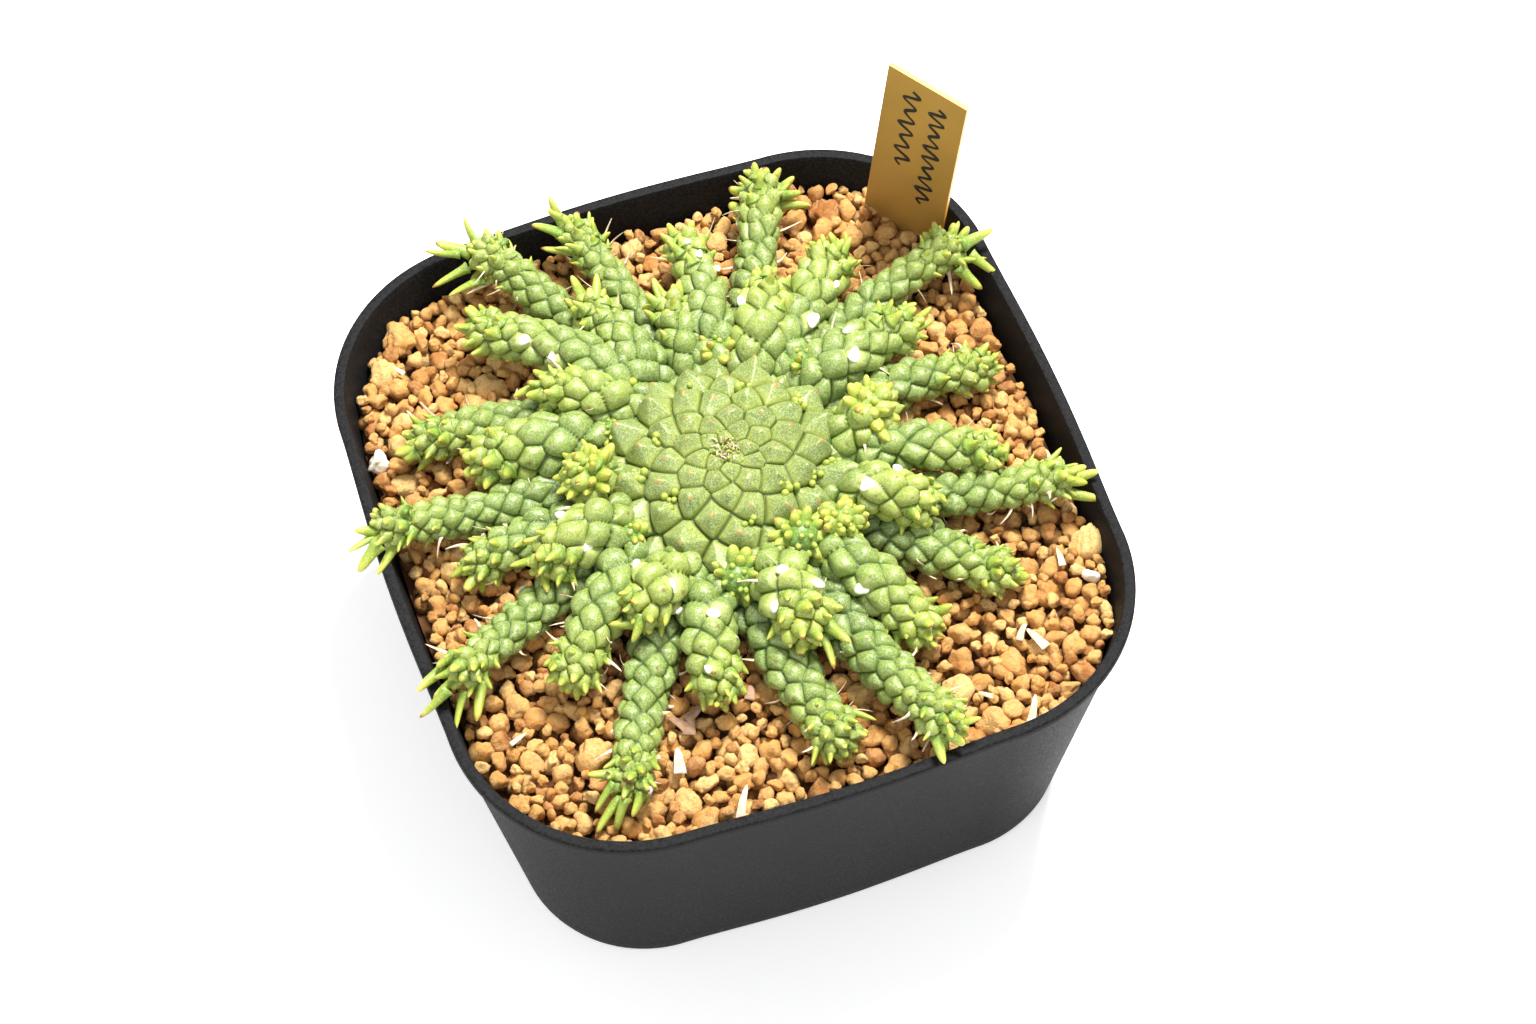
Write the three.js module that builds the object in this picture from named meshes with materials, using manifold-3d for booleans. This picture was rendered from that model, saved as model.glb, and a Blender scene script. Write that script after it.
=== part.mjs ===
// Potted euphorbia: a knobbly head (the caudex) ringed by three tiers of short arms,
// growing in loose grit in a square plastic pot with round corners and a tall name tag.
// Millimetres, +Z up. The origin is the centre of the pot's underside.
import * as THREE from 'three';
import { mergeVertices } from 'three/addons/utils/BufferGeometryUtils.js';
import Module from 'manifold-3d';

const wasm = await Module();
wasm.setup();

// ---- Driving dimensions -------------------------------------------------------------
const CLEARANCE = 0.3; // gap kept between pieces that only touch
const SMALLEST_EDGE = 0.05; // slivers finer than this are left out of a cut piece

const POT_HEIGHT = 55;
const RIM_HALF_X = 55;
const RIM_HALF_Y = 58.3;
const BASE_TO_RIM = 0.835; // the base outline is this much of the rim outline
const RIM_CORNER = 28.9;
const BASE_CORNER = 20.7;
const SIDE_BOW = 1; // each side bows out this much at its middle
const WALL = 1.2;
const LIP_PROUD = 0.6; // the lip stands out from the wall
const LIP_DEPTH = 1.6;
const LIP_ROUND = 0.3;
const FOOT_HEIGHT = 2; // the floor is raised on a rim foot and a centre pad
const FOOT_WIDTH = 3;
const FLOOR_THICKNESS = 1.8;
const CENTRE_PAD = 12;
const DRAIN_HOLES = 8;
const DRAIN_RADIUS = 3;
const DRAIN_RING = 28;

const GRIT_BELOW_RIM = 6;
const HEAD_RADIUS = 21;
const HEAD_ABOVE_RIM = 9.5;
const TAPROOT_DEPTH = 31; // how far the root goes below the grit's surface
const INNER_INSET = 5; // arms begin this far inside the head's widest ring
const MIDDLE_INSET = 0.5;
const OUTER_INSET = -3; // and these just outside it

const TAG_WIDTH = 14.6;
const TAG_THICKNESS = 0.8;
const TAG_ABOVE_GRIT = 39.5;
const TAG_BURIED = 16;
const TAG_POINT = 7; // height of the pointed foot
const TAG_PLACE = 33; // where it stands round the pot's corner arc, in degrees from +X
const TAG_FROM_WALL = 0.9; // its middle to the pot's inner face, at the level of its foot
const TAG_TURN = -53; // direction of its width, in degrees from +X
const TAG_TILT = -6; // lean in its own plane

const FLOOR_TOP = FOOT_HEIGHT + FLOOR_THICKNESS;
const GRIT_TOP = POT_HEIGHT - GRIT_BELOW_RIM;
const HEAD_TOP = POT_HEIGHT + HEAD_ABOVE_RIM;

// Heights of an arm's centre line, above the grit: low arms lie on it instead.
const MIDDLE_ROOT = 8.5;
const MIDDLE_TIP = 7;
const INNER_ROOT = 10.5;
const INNER_TIP = 11;

// Each arm: [turn at its root, turn at its tip, reach from the axis, width at the root,
// width at the tip, lift of the tip]. Turns are degrees anticlockwise from +X.
const OUTER_ARMS = [
  [106, 114, 60, 7, 6.5, 6.4],
  [92, 99, 56.5, 7.5, 6, 5],
  [130, 152, 51, 6.5, 6.5, 1],
  [164, 172, 55.5, 7.5, 6, 6.6],
  [174, 182, 44, 7.5, 7.5, 0.5],
  [194, 203, 55.5, 7.5, 6, 6.6],
  [229, 236, 58, 8, 6.5, 0.8],
  [264, 272, 52, 8.5, 8, 0.5],
  [285, 287, 58.5, 8.5, 7, 6.4],
  [321, 319, 48, 8, 7.5, 0.5],
  [336, 340, 54, 7.5, 6.5, 4],
  [20, 8, 48, 8.5, 6, 1],
  [44, 30, 58.5, 7.5, 6, 5.5],
  [64, 65, 59, 7.5, 7, 5],
];
const MIDDLE_ARMS = [
  [113, 126, 49.5, 10, 8.5, 0],
  [108, 105, 40.5, 8, 7.5, 1],
  [143, 159, 40, 10, 9, 0],
  [208, 218, 43.5, 9, 8.5, -1],
  [242, 250, 40, 10, 8, -1],
  [299, 298, 42.5, 9.5, 9, -1],
  [352, 345, 42.5, 9, 7, 0],
  [33, 24, 42, 11, 8, 0],
  [49, 48, 47, 9.5, 8.5, 0],
  [75, 80, 46, 9, 7, 1],
  [80, 88, 35, 8, 8, 1],
];
const INNER_ARMS = [
  [124, 136, 32, 8, 8, 0],
  [167, 165, 25, 9, 8.5, 0],
  [190, 193, 34, 10, 9.5, -1],
  [227, 225, 31, 10, 9.5, -1],
  [272, 274, 35, 11, 10, -1],
  [329, 326, 32.5, 10, 9.5, -1],
  [309, 306, 24, 8, 8, 0],
  [-1, 5, 28, 10, 9, 0],
  [56, 60, 36, 10, 9, 0],
];
// Each bud: [turn, distance from the axis, width].
const BUDS = [
  [115, 24, 6.5],
  [201, 20, 5.5],
  [255, 20.5, 6],
  [291, 18, 6],
  [41, 23.5, 7],
  [74, 23.5, 7],
  [140, 19.5, 5],
];

// Leaves of a tuft: [turn round the arm, tilt away from it, length, radius]. Turn 0 is up.
const LONG_LEAVES = [
  [0, 38, 9, 1.1],
  [52, 50, 7, 1],
  [-50, 46, 7.5, 1],
  [100, 55, 6, 0.9],
  [-96, 58, 6, 0.9],
  [24, 14, 6.5, 0.9],
];
const SHORT_LEAVES = [
  [10, 34, 5, 0.9],
  [80, 52, 5, 0.9],
  [-70, 52, 5, 0.9],
];
const BUD_LEAVES = [
  [0, 50, 3.6, 0.9],
  [72, 50, 3.4, 0.9],
  [144, 50, 3.6, 0.9],
  [216, 50, 3.4, 0.9],
  [288, 50, 3.6, 0.9],
];

// ---- Materials ----------------------------------------------------------------------
function finish(color, roughness) {
  return new THREE.MeshStandardMaterial({ color, roughness, metalness: 0 });
}
const potPlastic = () => finish(0x3a3b3d, 0.62);
const gritStone = () => finish(0xc18b55, 0.95);
const headSkin = () => finish(0x8fae6a, 0.6);
const armSkin = () => finish(0x86a868, 0.6);
const leafSkin = () => finish(0xaebb52, 0.55);
const tagPlastic = () => finish(0xb4903f, 0.45);

// ---- Solids: geometry to manifold and back ------------------------------------------
function toSolid(geometry) {
  const bare = geometry.clone();
  bare.deleteAttribute('normal');
  bare.deleteAttribute('uv');
  const merged = mergeVertices(bare, 1e-4);
  const mesh = new wasm.Mesh({
    numProp: 3,
    vertProperties: new Float32Array(merged.attributes.position.array),
    triVerts: outwardFaces(merged),
  });
  return new wasm.Manifold(mesh);
}

// The triangles without slivers that merging has closed up, wound to face out.
function outwardFaces(geometry) {
  const index = geometry.index.array;
  const position = geometry.attributes.position;
  const corners = [new THREE.Vector3(), new THREE.Vector3(), new THREE.Vector3()];
  const kept = [];
  let volume = 0;
  for (let i = 0; i < index.length; i += 3) {
    const [a, b, c] = [index[i], index[i + 1], index[i + 2]];
    if (a === b || b === c || a === c) continue;
    corners.forEach((corner, k) => corner.fromBufferAttribute(position, index[i + k]));
    volume += corners[0].dot(corners[1].clone().cross(corners[2]));
    kept.push(a, b, c);
  }
  if (volume < 0) kept.reverse();
  return new Uint32Array(kept);
}

function toGeometry(solid) {
  const mesh = solid.getMesh();
  const geometry = new THREE.BufferGeometry();
  geometry.setAttribute('position', new THREE.BufferAttribute(mesh.vertProperties, 3));
  geometry.setIndex(new THREE.BufferAttribute(mesh.triVerts, 1));
  geometry.computeVertexNormals();
  return geometry;
}

// The largest of the separate bodies that a cut leaves.
function largestBody(solid) {
  const bodies = solid.simplify(SMALLEST_EDGE).decompose();
  return bodies.reduce((best, body) => (body.volume() > best.volume() ? body : best));
}

function piece(name, solid, material) {
  const mesh = new THREE.Mesh(toGeometry(solid), material);
  mesh.name = name;
  return mesh;
}

// ---- Pot outlines -------------------------------------------------------------------
// A rounded rectangle whose straight sides bow out a little, as points in turn order.
const CORNER_STEPS = 7;
const SIDE_STEPS = 4;
function outline(halfX, halfY, corner) {
  const points = [];
  for (let quarter = 0; quarter < 4; quarter++) {
    const [signX, signY] = [[1, 1], [-1, 1], [-1, -1], [1, -1]][quarter];
    const centre = new THREE.Vector2(signX * (halfX - corner), signY * (halfY - corner));
    for (let step = 0; step <= CORNER_STEPS; step++) {
      const turn = ((quarter + step / CORNER_STEPS) * Math.PI) / 2;
      points.push(new THREE.Vector2(corner * Math.cos(turn), corner * Math.sin(turn)).add(centre));
    }
    const along = quarter % 2 === 0 ? halfX - corner : halfY - corner;
    const out = new THREE.Vector2(...[[0, 1], [-1, 0], [0, -1], [1, 0]][quarter]);
    const forward = new THREE.Vector2(-out.y, out.x);
    const reach = quarter % 2 === 0 ? halfY : halfX;
    for (let step = 1; step < SIDE_STEPS; step++) {
      const t = (2 * step) / SIDE_STEPS - 1;
      const point = forward.clone().multiplyScalar(along * t);
      points.push(point.addScaledVector(out, reach + SIDE_BOW * (1 - t * t)));
    }
  }
  return points;
}

// Distance from the axis to the outer face of a straight side, at a height.
function wallHalf(rimHalf, height) {
  const up = height / POT_HEIGHT;
  return rimHalf * THREE.MathUtils.lerp(BASE_TO_RIM, 1, up) - LIP_PROUD * up;
}

// Radius of the wall's round corners at a height.
function wallCorner(height) {
  return THREE.MathUtils.lerp(BASE_CORNER, RIM_CORNER - LIP_PROUD, height / POT_HEIGHT);
}

// The pot's wall at a height, moved in from its outer face.
function wallOutline(height, inset) {
  const corner = wallCorner(height);
  const [halfX, halfY] = [RIM_HALF_X, RIM_HALF_Y].map((half) => wallHalf(half, height));
  return outline(halfX - inset, halfY - inset, corner - inset);
}

// A closed solid through outlines with the same number of points, lowest first.
function stack(levels) {
  const count = levels[0].points.length;
  const positions = [];
  for (const { points, z } of levels) {
    for (const point of points) positions.push(point.x, point.y, z);
  }
  const index = [];
  for (let level = 0; level + 1 < levels.length; level++) {
    for (let i = 0; i < count; i++) {
      const next = (i + 1) % count;
      const [a, b] = [level * count + i, level * count + next];
      index.push(a, b, b + count, a, b + count, a + count);
    }
  }
  const top = (levels.length - 1) * count;
  for (const [a, b, c] of THREE.ShapeUtils.triangulateShape(levels[0].points, [])) {
    index.push(a, c, b);
    index.push(top + a, top + b, top + c);
  }
  const geometry = new THREE.BufferGeometry();
  geometry.setAttribute('position', new THREE.Float32BufferAttribute(positions, 3));
  geometry.setIndex(index);
  return toSolid(geometry);
}

function uprightCylinder(radius, bottom, top, sides, x = 0, y = 0) {
  const geometry = new THREE.CylinderGeometry(radius, radius, top - bottom, sides);
  geometry.rotateX(Math.PI / 2);
  geometry.translate(x, y, (bottom + top) / 2);
  return toSolid(geometry);
}

// ---- Pot ----------------------------------------------------------------------------
const LIP_UNDERSIDE = POT_HEIGHT - LIP_DEPTH;
function potOuter() {
  const lip = (inset) => outline(RIM_HALF_X - inset, RIM_HALF_Y - inset, RIM_CORNER - inset);
  return stack([
    { points: wallOutline(0, LIP_ROUND), z: 0 },
    { points: wallOutline(LIP_ROUND, 0), z: LIP_ROUND },
    { points: wallOutline(LIP_UNDERSIDE, 0), z: LIP_UNDERSIDE },
    { points: lip(0), z: LIP_UNDERSIDE + LIP_ROUND },
    { points: lip(0), z: POT_HEIGHT - LIP_ROUND },
    { points: lip(LIP_ROUND), z: POT_HEIGHT },
  ]);
}

function potHollow() {
  return stack([
    { points: wallOutline(FLOOR_TOP, WALL), z: FLOOR_TOP },
    { points: wallOutline(POT_HEIGHT + 1, WALL), z: POT_HEIGHT + 1 },
  ]);
}

function footRecess() {
  const recess = stack([
    { points: wallOutline(0, FOOT_WIDTH), z: -1 },
    { points: wallOutline(0, FOOT_WIDTH), z: FOOT_HEIGHT },
  ]);
  return recess.subtract(uprightCylinder(CENTRE_PAD, -2, FOOT_HEIGHT + 1, 32));
}

function potSolid() {
  let solid = potOuter().subtract(potHollow()).subtract(footRecess());
  for (let hole = 0; hole < DRAIN_HOLES; hole++) {
    const turn = ((hole + 0.5) / DRAIN_HOLES) * 2 * Math.PI;
    const [x, y] = [DRAIN_RING * Math.cos(turn), DRAIN_RING * Math.sin(turn)];
    solid = solid.subtract(uprightCylinder(DRAIN_RADIUS, -1, FLOOR_TOP + 1, 12, x, y));
  }
  return solid;
}

// ---- Head (caudex) and its taproot --------------------------------------------------
const HEAD_SIDES = 24;
const HEAD_DOME_STEPS = 7;
const HEAD_DIMPLE = 0.05;
const ROOT_SHARES = [[0.97, 0], [0.86, 0.16], [0.62, 0.42], [0.34, 0.7], [0.12, 0.93]];
const HEAD_MIDDLE = GRIT_TOP + 3; // height of its widest ring
const HEAD_SQUARENESS = 0.8; // below 1 the dome is flatter than an ellipse

function headSolid(grow) {
  const profile = [new THREE.Vector2(0, GRIT_TOP - TAPROOT_DEPTH - grow)];
  for (const [width, depth] of [...ROOT_SHARES].reverse()) {
    profile.push(new THREE.Vector2(HEAD_RADIUS * width + grow, GRIT_TOP - TAPROOT_DEPTH * depth));
  }
  const rise = HEAD_TOP - HEAD_MIDDLE + grow;
  for (let step = 0; step < HEAD_DOME_STEPS; step++) {
    const angle = (step / HEAD_DOME_STEPS) * (Math.PI / 2);
    const radius = (HEAD_RADIUS + grow) * Math.cos(angle) ** HEAD_SQUARENESS;
    profile.push(new THREE.Vector2(radius, HEAD_MIDDLE + rise * Math.sin(angle)));
  }
  profile.push(new THREE.Vector2(0, HEAD_TOP + grow));
  const geometry = new THREE.LatheGeometry(profile, HEAD_SIDES);
  if (grow === 0) dimple(geometry, profile.length);
  geometry.rotateX(Math.PI / 2);
  return toSolid(geometry);
}

// Draws every other vertex in a little, so that the skin is a lattice of low bumps.
function dimple(geometry, rings) {
  const position = geometry.attributes.position;
  for (let i = 0; i < position.count; i++) {
    const ring = i % rings;
    const side = Math.floor(i / rings);
    const pole = ring === 0 || ring === rings - 1;
    const scale = pole || (ring + side) % 2 === 0 ? 1 : 1 - HEAD_DIMPLE;
    position.setX(i, position.getX(i) * scale);
    position.setZ(i, position.getZ(i) * scale);
  }
}

// ---- Limbs: arms and leaves, bent along a curve -------------------------------------
const UP = new THREE.Vector3(0, 0, 1);
const ROOT_ROUND = 0.4; // the root's end is domed by this share of its radius
const CAP_ANGLES = [48]; // rings that round a blunt tip, in degrees

// Stations of a limb: [distance along it, radius]. A sharp limb narrows to a point.
function limbStations({ length, rootRadius, tipRadius, rings, sharp, rootRound, grow }) {
  const stations = [[0, 0], [rootRadius * rootRound, rootRadius * (1 - rootRound / 2) + grow]];
  const body = sharp ? length : length - tipRadius;
  for (let ring = 1; ring <= rings; ring++) {
    const t = ring / (sharp ? rings + 1 : rings);
    const taper = sharp ? rootRadius * (1 - t ** 2) : THREE.MathUtils.lerp(rootRadius, tipRadius, t);
    stations.push([body * t, taper + grow]);
  }
  if (!sharp) {
    for (const degrees of CAP_ANGLES) {
      const angle = THREE.MathUtils.degToRad(degrees);
      const cap = tipRadius + grow;
      stations.push([body + cap * Math.sin(angle), cap * Math.cos(angle)]);
    }
  }
  stations.push([length + grow, 0]);
  return stations;
}

// A turned profile bent along the curve. Its radius swells and dips from one corner to
// the next by `knob`, which makes staggered bumps like the plant's tubercles.
function limb(curve, options) {
  const { sides, knob = 0, grow = 0, sharp = false, rootRound = ROOT_ROUND } = options;
  const length = curve.getLength();
  const stations = limbStations({ ...options, length, grow, sharp, rootRound });
  const profile = stations.map(([along, radius]) => new THREE.Vector2(radius, along));
  const geometry = new THREE.LatheGeometry(profile, sides);
  const position = geometry.attributes.position;
  for (let i = 0; i < position.count; i++) {
    const ring = i % profile.length;
    const side = Math.floor(i / profile.length);
    const along = position.getY(i);
    const swell = 1 - ((ring + side) % 2) * knob;
    const t = Math.min(along / length, 1);
    const forward = curve.getTangentAt(t);
    const across = new THREE.Vector3().crossVectors(UP, forward).normalize();
    const over = new THREE.Vector3().crossVectors(forward, across);
    const point = curve.getPointAt(t).addScaledVector(forward, Math.max(along - length, 0));
    point.addScaledVector(across, position.getX(i) * swell);
    point.addScaledVector(over, position.getZ(i) * swell);
    position.setXYZ(i, point.x, point.y, point.z);
  }
  return toSolid(geometry);
}

function polar(turn, radius, z) {
  const angle = THREE.MathUtils.degToRad(turn);
  return new THREE.Vector3(radius * Math.cos(angle), radius * Math.sin(angle), z);
}

// ---- Arms ---------------------------------------------------------------------------
const ARM_SIDES = 8;
const RING_PITCH = 4.8; // one ring of tubercles about this often
const KNOB = 0.12;
const ARCH = 0.8; // a raised arm's middle stands this far above its ends
const LIFT_AT_MIDDLE = 1 / 8; // share of a low arm's tip lift that its middle has
const SLEEVE_SCALE = 1 / Math.cos(Math.PI / 6); // a six-sided sleeve's flats clear the arm
const SLEEVE_PITCH = 11; // a sleeve needs rings only to follow the bend

function armCurve(arm, inset, rootZ, middleZ, tipZ) {
  const [rootTurn, tipTurn, reach, , tipWidth] = arm;
  const start = Math.min(HEAD_RADIUS - inset, reach - tipWidth);
  const middleTurn = (rootTurn + tipTurn) / 2;
  return new THREE.CatmullRomCurve3([
    polar(rootTurn, start, rootZ),
    polar(middleTurn, (start + reach) / 2, middleZ),
    polar(tipTurn, reach, tipZ),
  ]);
}

// An outer arm lies on the grit and lifts only its tip.
function outerCurve(arm) {
  const [, , , rootWidth, tipWidth, lift] = arm;
  const bed = GRIT_TOP + CLEARANCE;
  const [rootZ, tipZ] = [bed + rootWidth / 2, bed + tipWidth / 2];
  const middleZ = (rootZ + tipZ) / 2 + lift * LIFT_AT_MIDDLE;
  return armCurve(arm, OUTER_INSET, rootZ, middleZ, tipZ + lift);
}

function raisedCurve(arm, inset, rootHeight, tipHeight) {
  const lift = arm[5];
  const [rootZ, tipZ] = [GRIT_TOP + rootHeight, GRIT_TOP + tipHeight + lift];
  return armCurve(arm, inset, rootZ, (rootZ + tipZ) / 2 + ARCH, tipZ);
}

function armBody(arm, curve) {
  const [, , , rootWidth, tipWidth] = arm;
  return limb(curve, {
    rootRadius: rootWidth / 2,
    tipRadius: tipWidth / 2,
    sides: ARM_SIDES,
    rings: Math.round(curve.getLength() / RING_PITCH),
    knob: KNOB,
  });
}

// A plain six-sided sleeve that holds the arm with room to spare all round.
function armSleeve(arm, curve) {
  const [, , , rootWidth, tipWidth] = arm;
  return limb(curve, {
    rootRadius: (rootWidth / 2) * SLEEVE_SCALE,
    tipRadius: (tipWidth / 2) * SLEEVE_SCALE,
    sides: 6,
    rings: Math.ceil(curve.getLength() / SLEEVE_PITCH),
    rootRound: 0,
    grow: CLEARANCE,
  });
}

// ---- Leaves -------------------------------------------------------------------------
// A spray of pointed leaves from a place, about a direction.
const LEAF_SIDES = 4;
const LEAF_RINGS = 1;
const LEAF_CURL = 0.18; // how far a leaf's middle is bowed, as a share of its length

function leafSpray(root, direction, leaves, size, grow) {
  const across = new THREE.Vector3().crossVectors(UP, direction);
  if (across.length() < 0.1) across.set(1, 0, 0);
  across.normalize();
  const over = new THREE.Vector3().crossVectors(direction, across).normalize();
  return leaves.map(([turn, tilt, length, radius]) => {
    const angle = THREE.MathUtils.degToRad(turn);
    const lean = THREE.MathUtils.degToRad(tilt);
    const outward = over.clone().multiplyScalar(Math.cos(angle));
    outward.addScaledVector(across, Math.sin(angle));
    const heading = direction.clone().multiplyScalar(Math.cos(lean));
    heading.addScaledVector(outward, Math.sin(lean));
    const middle = root.clone().addScaledVector(heading, (length * size) / 2);
    middle.addScaledVector(outward, length * size * LEAF_CURL);
    const end = root.clone().addScaledVector(heading, length * size);
    const curve = new THREE.QuadraticBezierCurve3(root, middle, end);
    return limb(curve, {
      rootRadius: radius * size,
      tipRadius: 0,
      sides: LEAF_SIDES,
      rings: LEAF_RINGS,
      sharp: true,
      grow,
    });
  });
}

function joined(solids) {
  return solids.reduce((sum, solid) => sum.add(solid));
}

function ball(centre, radius, stretch = 1) {
  const geometry = new THREE.SphereGeometry(radius, 7, 4);
  geometry.rotateX(Math.PI / 2);
  geometry.scale(1, 1, stretch);
  geometry.translate(centre.x, centre.y, centre.z);
  return toSolid(geometry);
}

// ---- Name tag -----------------------------------------------------------------------
function tagSolid(grow) {
  const half = TAG_WIDTH / 2 + grow;
  const shape = new THREE.Shape();
  shape.moveTo(0, -TAG_BURIED - grow);
  shape.lineTo(half, -TAG_BURIED + TAG_POINT);
  shape.lineTo(half, TAG_ABOVE_GRIT + grow);
  shape.lineTo(-half, TAG_ABOVE_GRIT + grow);
  shape.lineTo(-half, -TAG_BURIED + TAG_POINT);
  const depth = TAG_THICKNESS + 2 * grow;
  const geometry = new THREE.ExtrudeGeometry(shape, { depth, bevelEnabled: false });
  geometry.translate(0, 0, -depth / 2);
  geometry.rotateZ(THREE.MathUtils.degToRad(TAG_TILT));
  geometry.rotateX(Math.PI / 2);
  geometry.rotateZ(THREE.MathUtils.degToRad(TAG_TURN));
  const foot = GRIT_TOP - TAG_BURIED;
  const corner = wallCorner(foot);
  const place = polar(TAG_PLACE, corner - WALL - TAG_FROM_WALL, GRIT_TOP);
  place.x += wallHalf(RIM_HALF_X, foot) - corner;
  place.y += wallHalf(RIM_HALF_Y, foot) - corner;
  geometry.translate(place.x, place.y, place.z);
  return toSolid(geometry);
}

// ---- Grit ---------------------------------------------------------------------------
function gritSolid() {
  const bottom = FLOOR_TOP + CLEARANCE;
  const inset = WALL + CLEARANCE;
  const bed = stack([
    { points: wallOutline(bottom, inset), z: bottom },
    { points: wallOutline(GRIT_TOP, inset), z: GRIT_TOP },
  ]);
  return bed.subtract(headSolid(CLEARANCE)).subtract(tagSolid(CLEARANCE));
}

// The top of the pot's wall with room to spare all round, which the plant keeps out of.
function rimSleeve() {
  const outer = outline(RIM_HALF_X + CLEARANCE, RIM_HALF_Y + CLEARANCE, RIM_CORNER + CLEARANCE);
  const [bottom, top] = [GRIT_TOP, POT_HEIGHT + CLEARANCE];
  const block = stack([
    { points: outer, z: bottom },
    { points: outer, z: top },
  ]);
  const inset = WALL + CLEARANCE;
  const hollow = stack([
    { points: wallOutline(bottom - 1, inset), z: bottom - 1 },
    { points: wallOutline(top + 1, inset), z: top + 1 },
  ]);
  return block.subtract(hollow);
}

// ---- Plant --------------------------------------------------------------------------
// Pieces are made from the top tier down. Each is trimmed by enlarged copies of those
// already in place, so that they all stay clear of each other.
const plant = [];
const taken = [headSolid(CLEARANCE), rimSleeve(), tagSolid(CLEARANCE)];

function place(name, solid, enlarged, material) {
  let trimmed = solid;
  for (const other of taken) trimmed = trimmed.subtract(other);
  plant.push(piece(name, largestBody(trimmed), material));
  taken.push(enlarged);
}

// Inner and middle arms carry short leaves round the tip, as one body with the arm.
// The leaves grow from inside the tip, and their size goes with its width.
const SHORT_LEAF_SCALE = 1.3 / 9;
const SHORT_LEAF_ROOT = 1 / 3;
function leafyArm(name, arm, curve) {
  const tipWidth = arm[4];
  const root = curve.getPointAt(1 - (tipWidth * SHORT_LEAF_ROOT) / curve.getLength());
  const direction = curve.getTangentAt(1);
  const size = tipWidth * SHORT_LEAF_SCALE;
  const spray = (grow) => leafSpray(root, direction, SHORT_LEAVES, size, grow);
  const body = joined([armBody(arm, curve), ...spray(0)]);
  place(name, body, joined([armSleeve(arm, curve), ...spray(CLEARANCE)]), armSkin());
}

// A bud is a low dome on the head's shoulder with a ring of stubby leaves. It sits lower
// and leans further out the further it is from the axis.
const BUD_BELOW_HEAD_TOP = 2;
const BUD_FALL = 4;
const BUD_LEAN = 0.7;
const BUD_LEAF_SCALE = 1 / 5.2;
function bud(name, [turn, distance, width]) {
  const slope = distance / HEAD_RADIUS;
  const height = HEAD_TOP - BUD_BELOW_HEAD_TOP - BUD_FALL * slope * slope;
  const centre = polar(turn, distance, height);
  const direction = polar(turn, Math.min(slope, 1) * BUD_LEAN, 0).add(UP).normalize();
  const bodies = [0, CLEARANCE].map((grow) => {
    const leaves = leafSpray(centre, direction, BUD_LEAVES, width * BUD_LEAF_SCALE, grow);
    return joined([ball(centre, width / 2 + grow), ...leaves]);
  });
  place(name, bodies[0], bodies[1], leafSkin());
}

BUDS.forEach((spec, i) => bud(`bud_${i + 1}`, spec));
INNER_ARMS.forEach((arm, i) => {
  leafyArm(`arm_inner_${i + 1}`, arm, raisedCurve(arm, INNER_INSET, INNER_ROOT, INNER_TIP));
});
MIDDLE_ARMS.forEach((arm, i) => {
  leafyArm(`arm_middle_${i + 1}`, arm, raisedCurve(arm, MIDDLE_INSET, MIDDLE_ROOT, MIDDLE_TIP));
});

// An outer arm ends in a tuft of long leaves on a growing tip that caps the arm.
const CROWN_OUT = 0.4; // the growing tip's centre is this far beyond the arm's end
const TUFT_OUT = 0.5; // and the leaves' root this far
const CROWN_SHARE = 2 / 6.5; // the growing tip's radius, as a share of the arm's width
const LONG_LEAF_SCALE = 1 / 6.5;
OUTER_ARMS.forEach((arm, i) => {
  const curve = outerCurve(arm);
  place(`arm_outer_${i + 1}`, armBody(arm, curve), armSleeve(arm, curve), armSkin());
  const direction = curve.getTangentAt(1);
  const end = curve.getPointAt(1);
  const crown = end.clone().addScaledVector(direction, CROWN_OUT);
  const root = end.clone().addScaledVector(direction, TUFT_OUT);
  const tipWidth = arm[4];
  const size = tipWidth * LONG_LEAF_SCALE;
  const bodies = [0, CLEARANCE].map((grow) => {
    const leaves = leafSpray(root, direction, LONG_LEAVES, size, grow);
    return joined([ball(crown, tipWidth * CROWN_SHARE + grow), ...leaves]);
  });
  place(`tuft_outer_${i + 1}`, bodies[0], bodies[1], leafSkin());
});

// ---- Whole object -------------------------------------------------------------------
const object = new THREE.Group();
object.add(piece('pot', potSolid(), potPlastic()));
object.add(piece('grit', gritSolid(), gritStone()));
object.add(piece('caudex', headSolid(0), headSkin()));
object.add(...plant);
object.add(piece('name_tag', tagSolid(0), tagPlastic()));

export default object;
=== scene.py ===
"""Potted euphorbia: the looks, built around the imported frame.

Geometry is worked out in millimetres with numpy and scaled to metres when a mesh is made.
"""
import math

import bpy
import numpy as np
from mathutils import Matrix, Vector


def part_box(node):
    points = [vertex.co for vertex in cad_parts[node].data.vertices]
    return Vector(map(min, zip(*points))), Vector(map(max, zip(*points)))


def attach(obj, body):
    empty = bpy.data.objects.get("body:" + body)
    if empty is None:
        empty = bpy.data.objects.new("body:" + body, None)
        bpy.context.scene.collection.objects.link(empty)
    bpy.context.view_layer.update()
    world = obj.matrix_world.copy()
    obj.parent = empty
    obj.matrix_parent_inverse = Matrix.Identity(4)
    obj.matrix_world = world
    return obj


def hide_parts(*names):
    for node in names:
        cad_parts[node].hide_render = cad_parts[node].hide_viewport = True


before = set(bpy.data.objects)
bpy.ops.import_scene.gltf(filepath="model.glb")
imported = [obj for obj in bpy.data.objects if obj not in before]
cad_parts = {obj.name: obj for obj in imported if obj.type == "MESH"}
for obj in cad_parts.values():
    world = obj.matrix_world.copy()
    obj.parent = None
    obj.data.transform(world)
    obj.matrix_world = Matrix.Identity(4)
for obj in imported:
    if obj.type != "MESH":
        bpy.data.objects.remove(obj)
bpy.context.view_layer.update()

MM = 0.001
GOLDEN = math.pi * (3 - math.sqrt(5))
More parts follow.
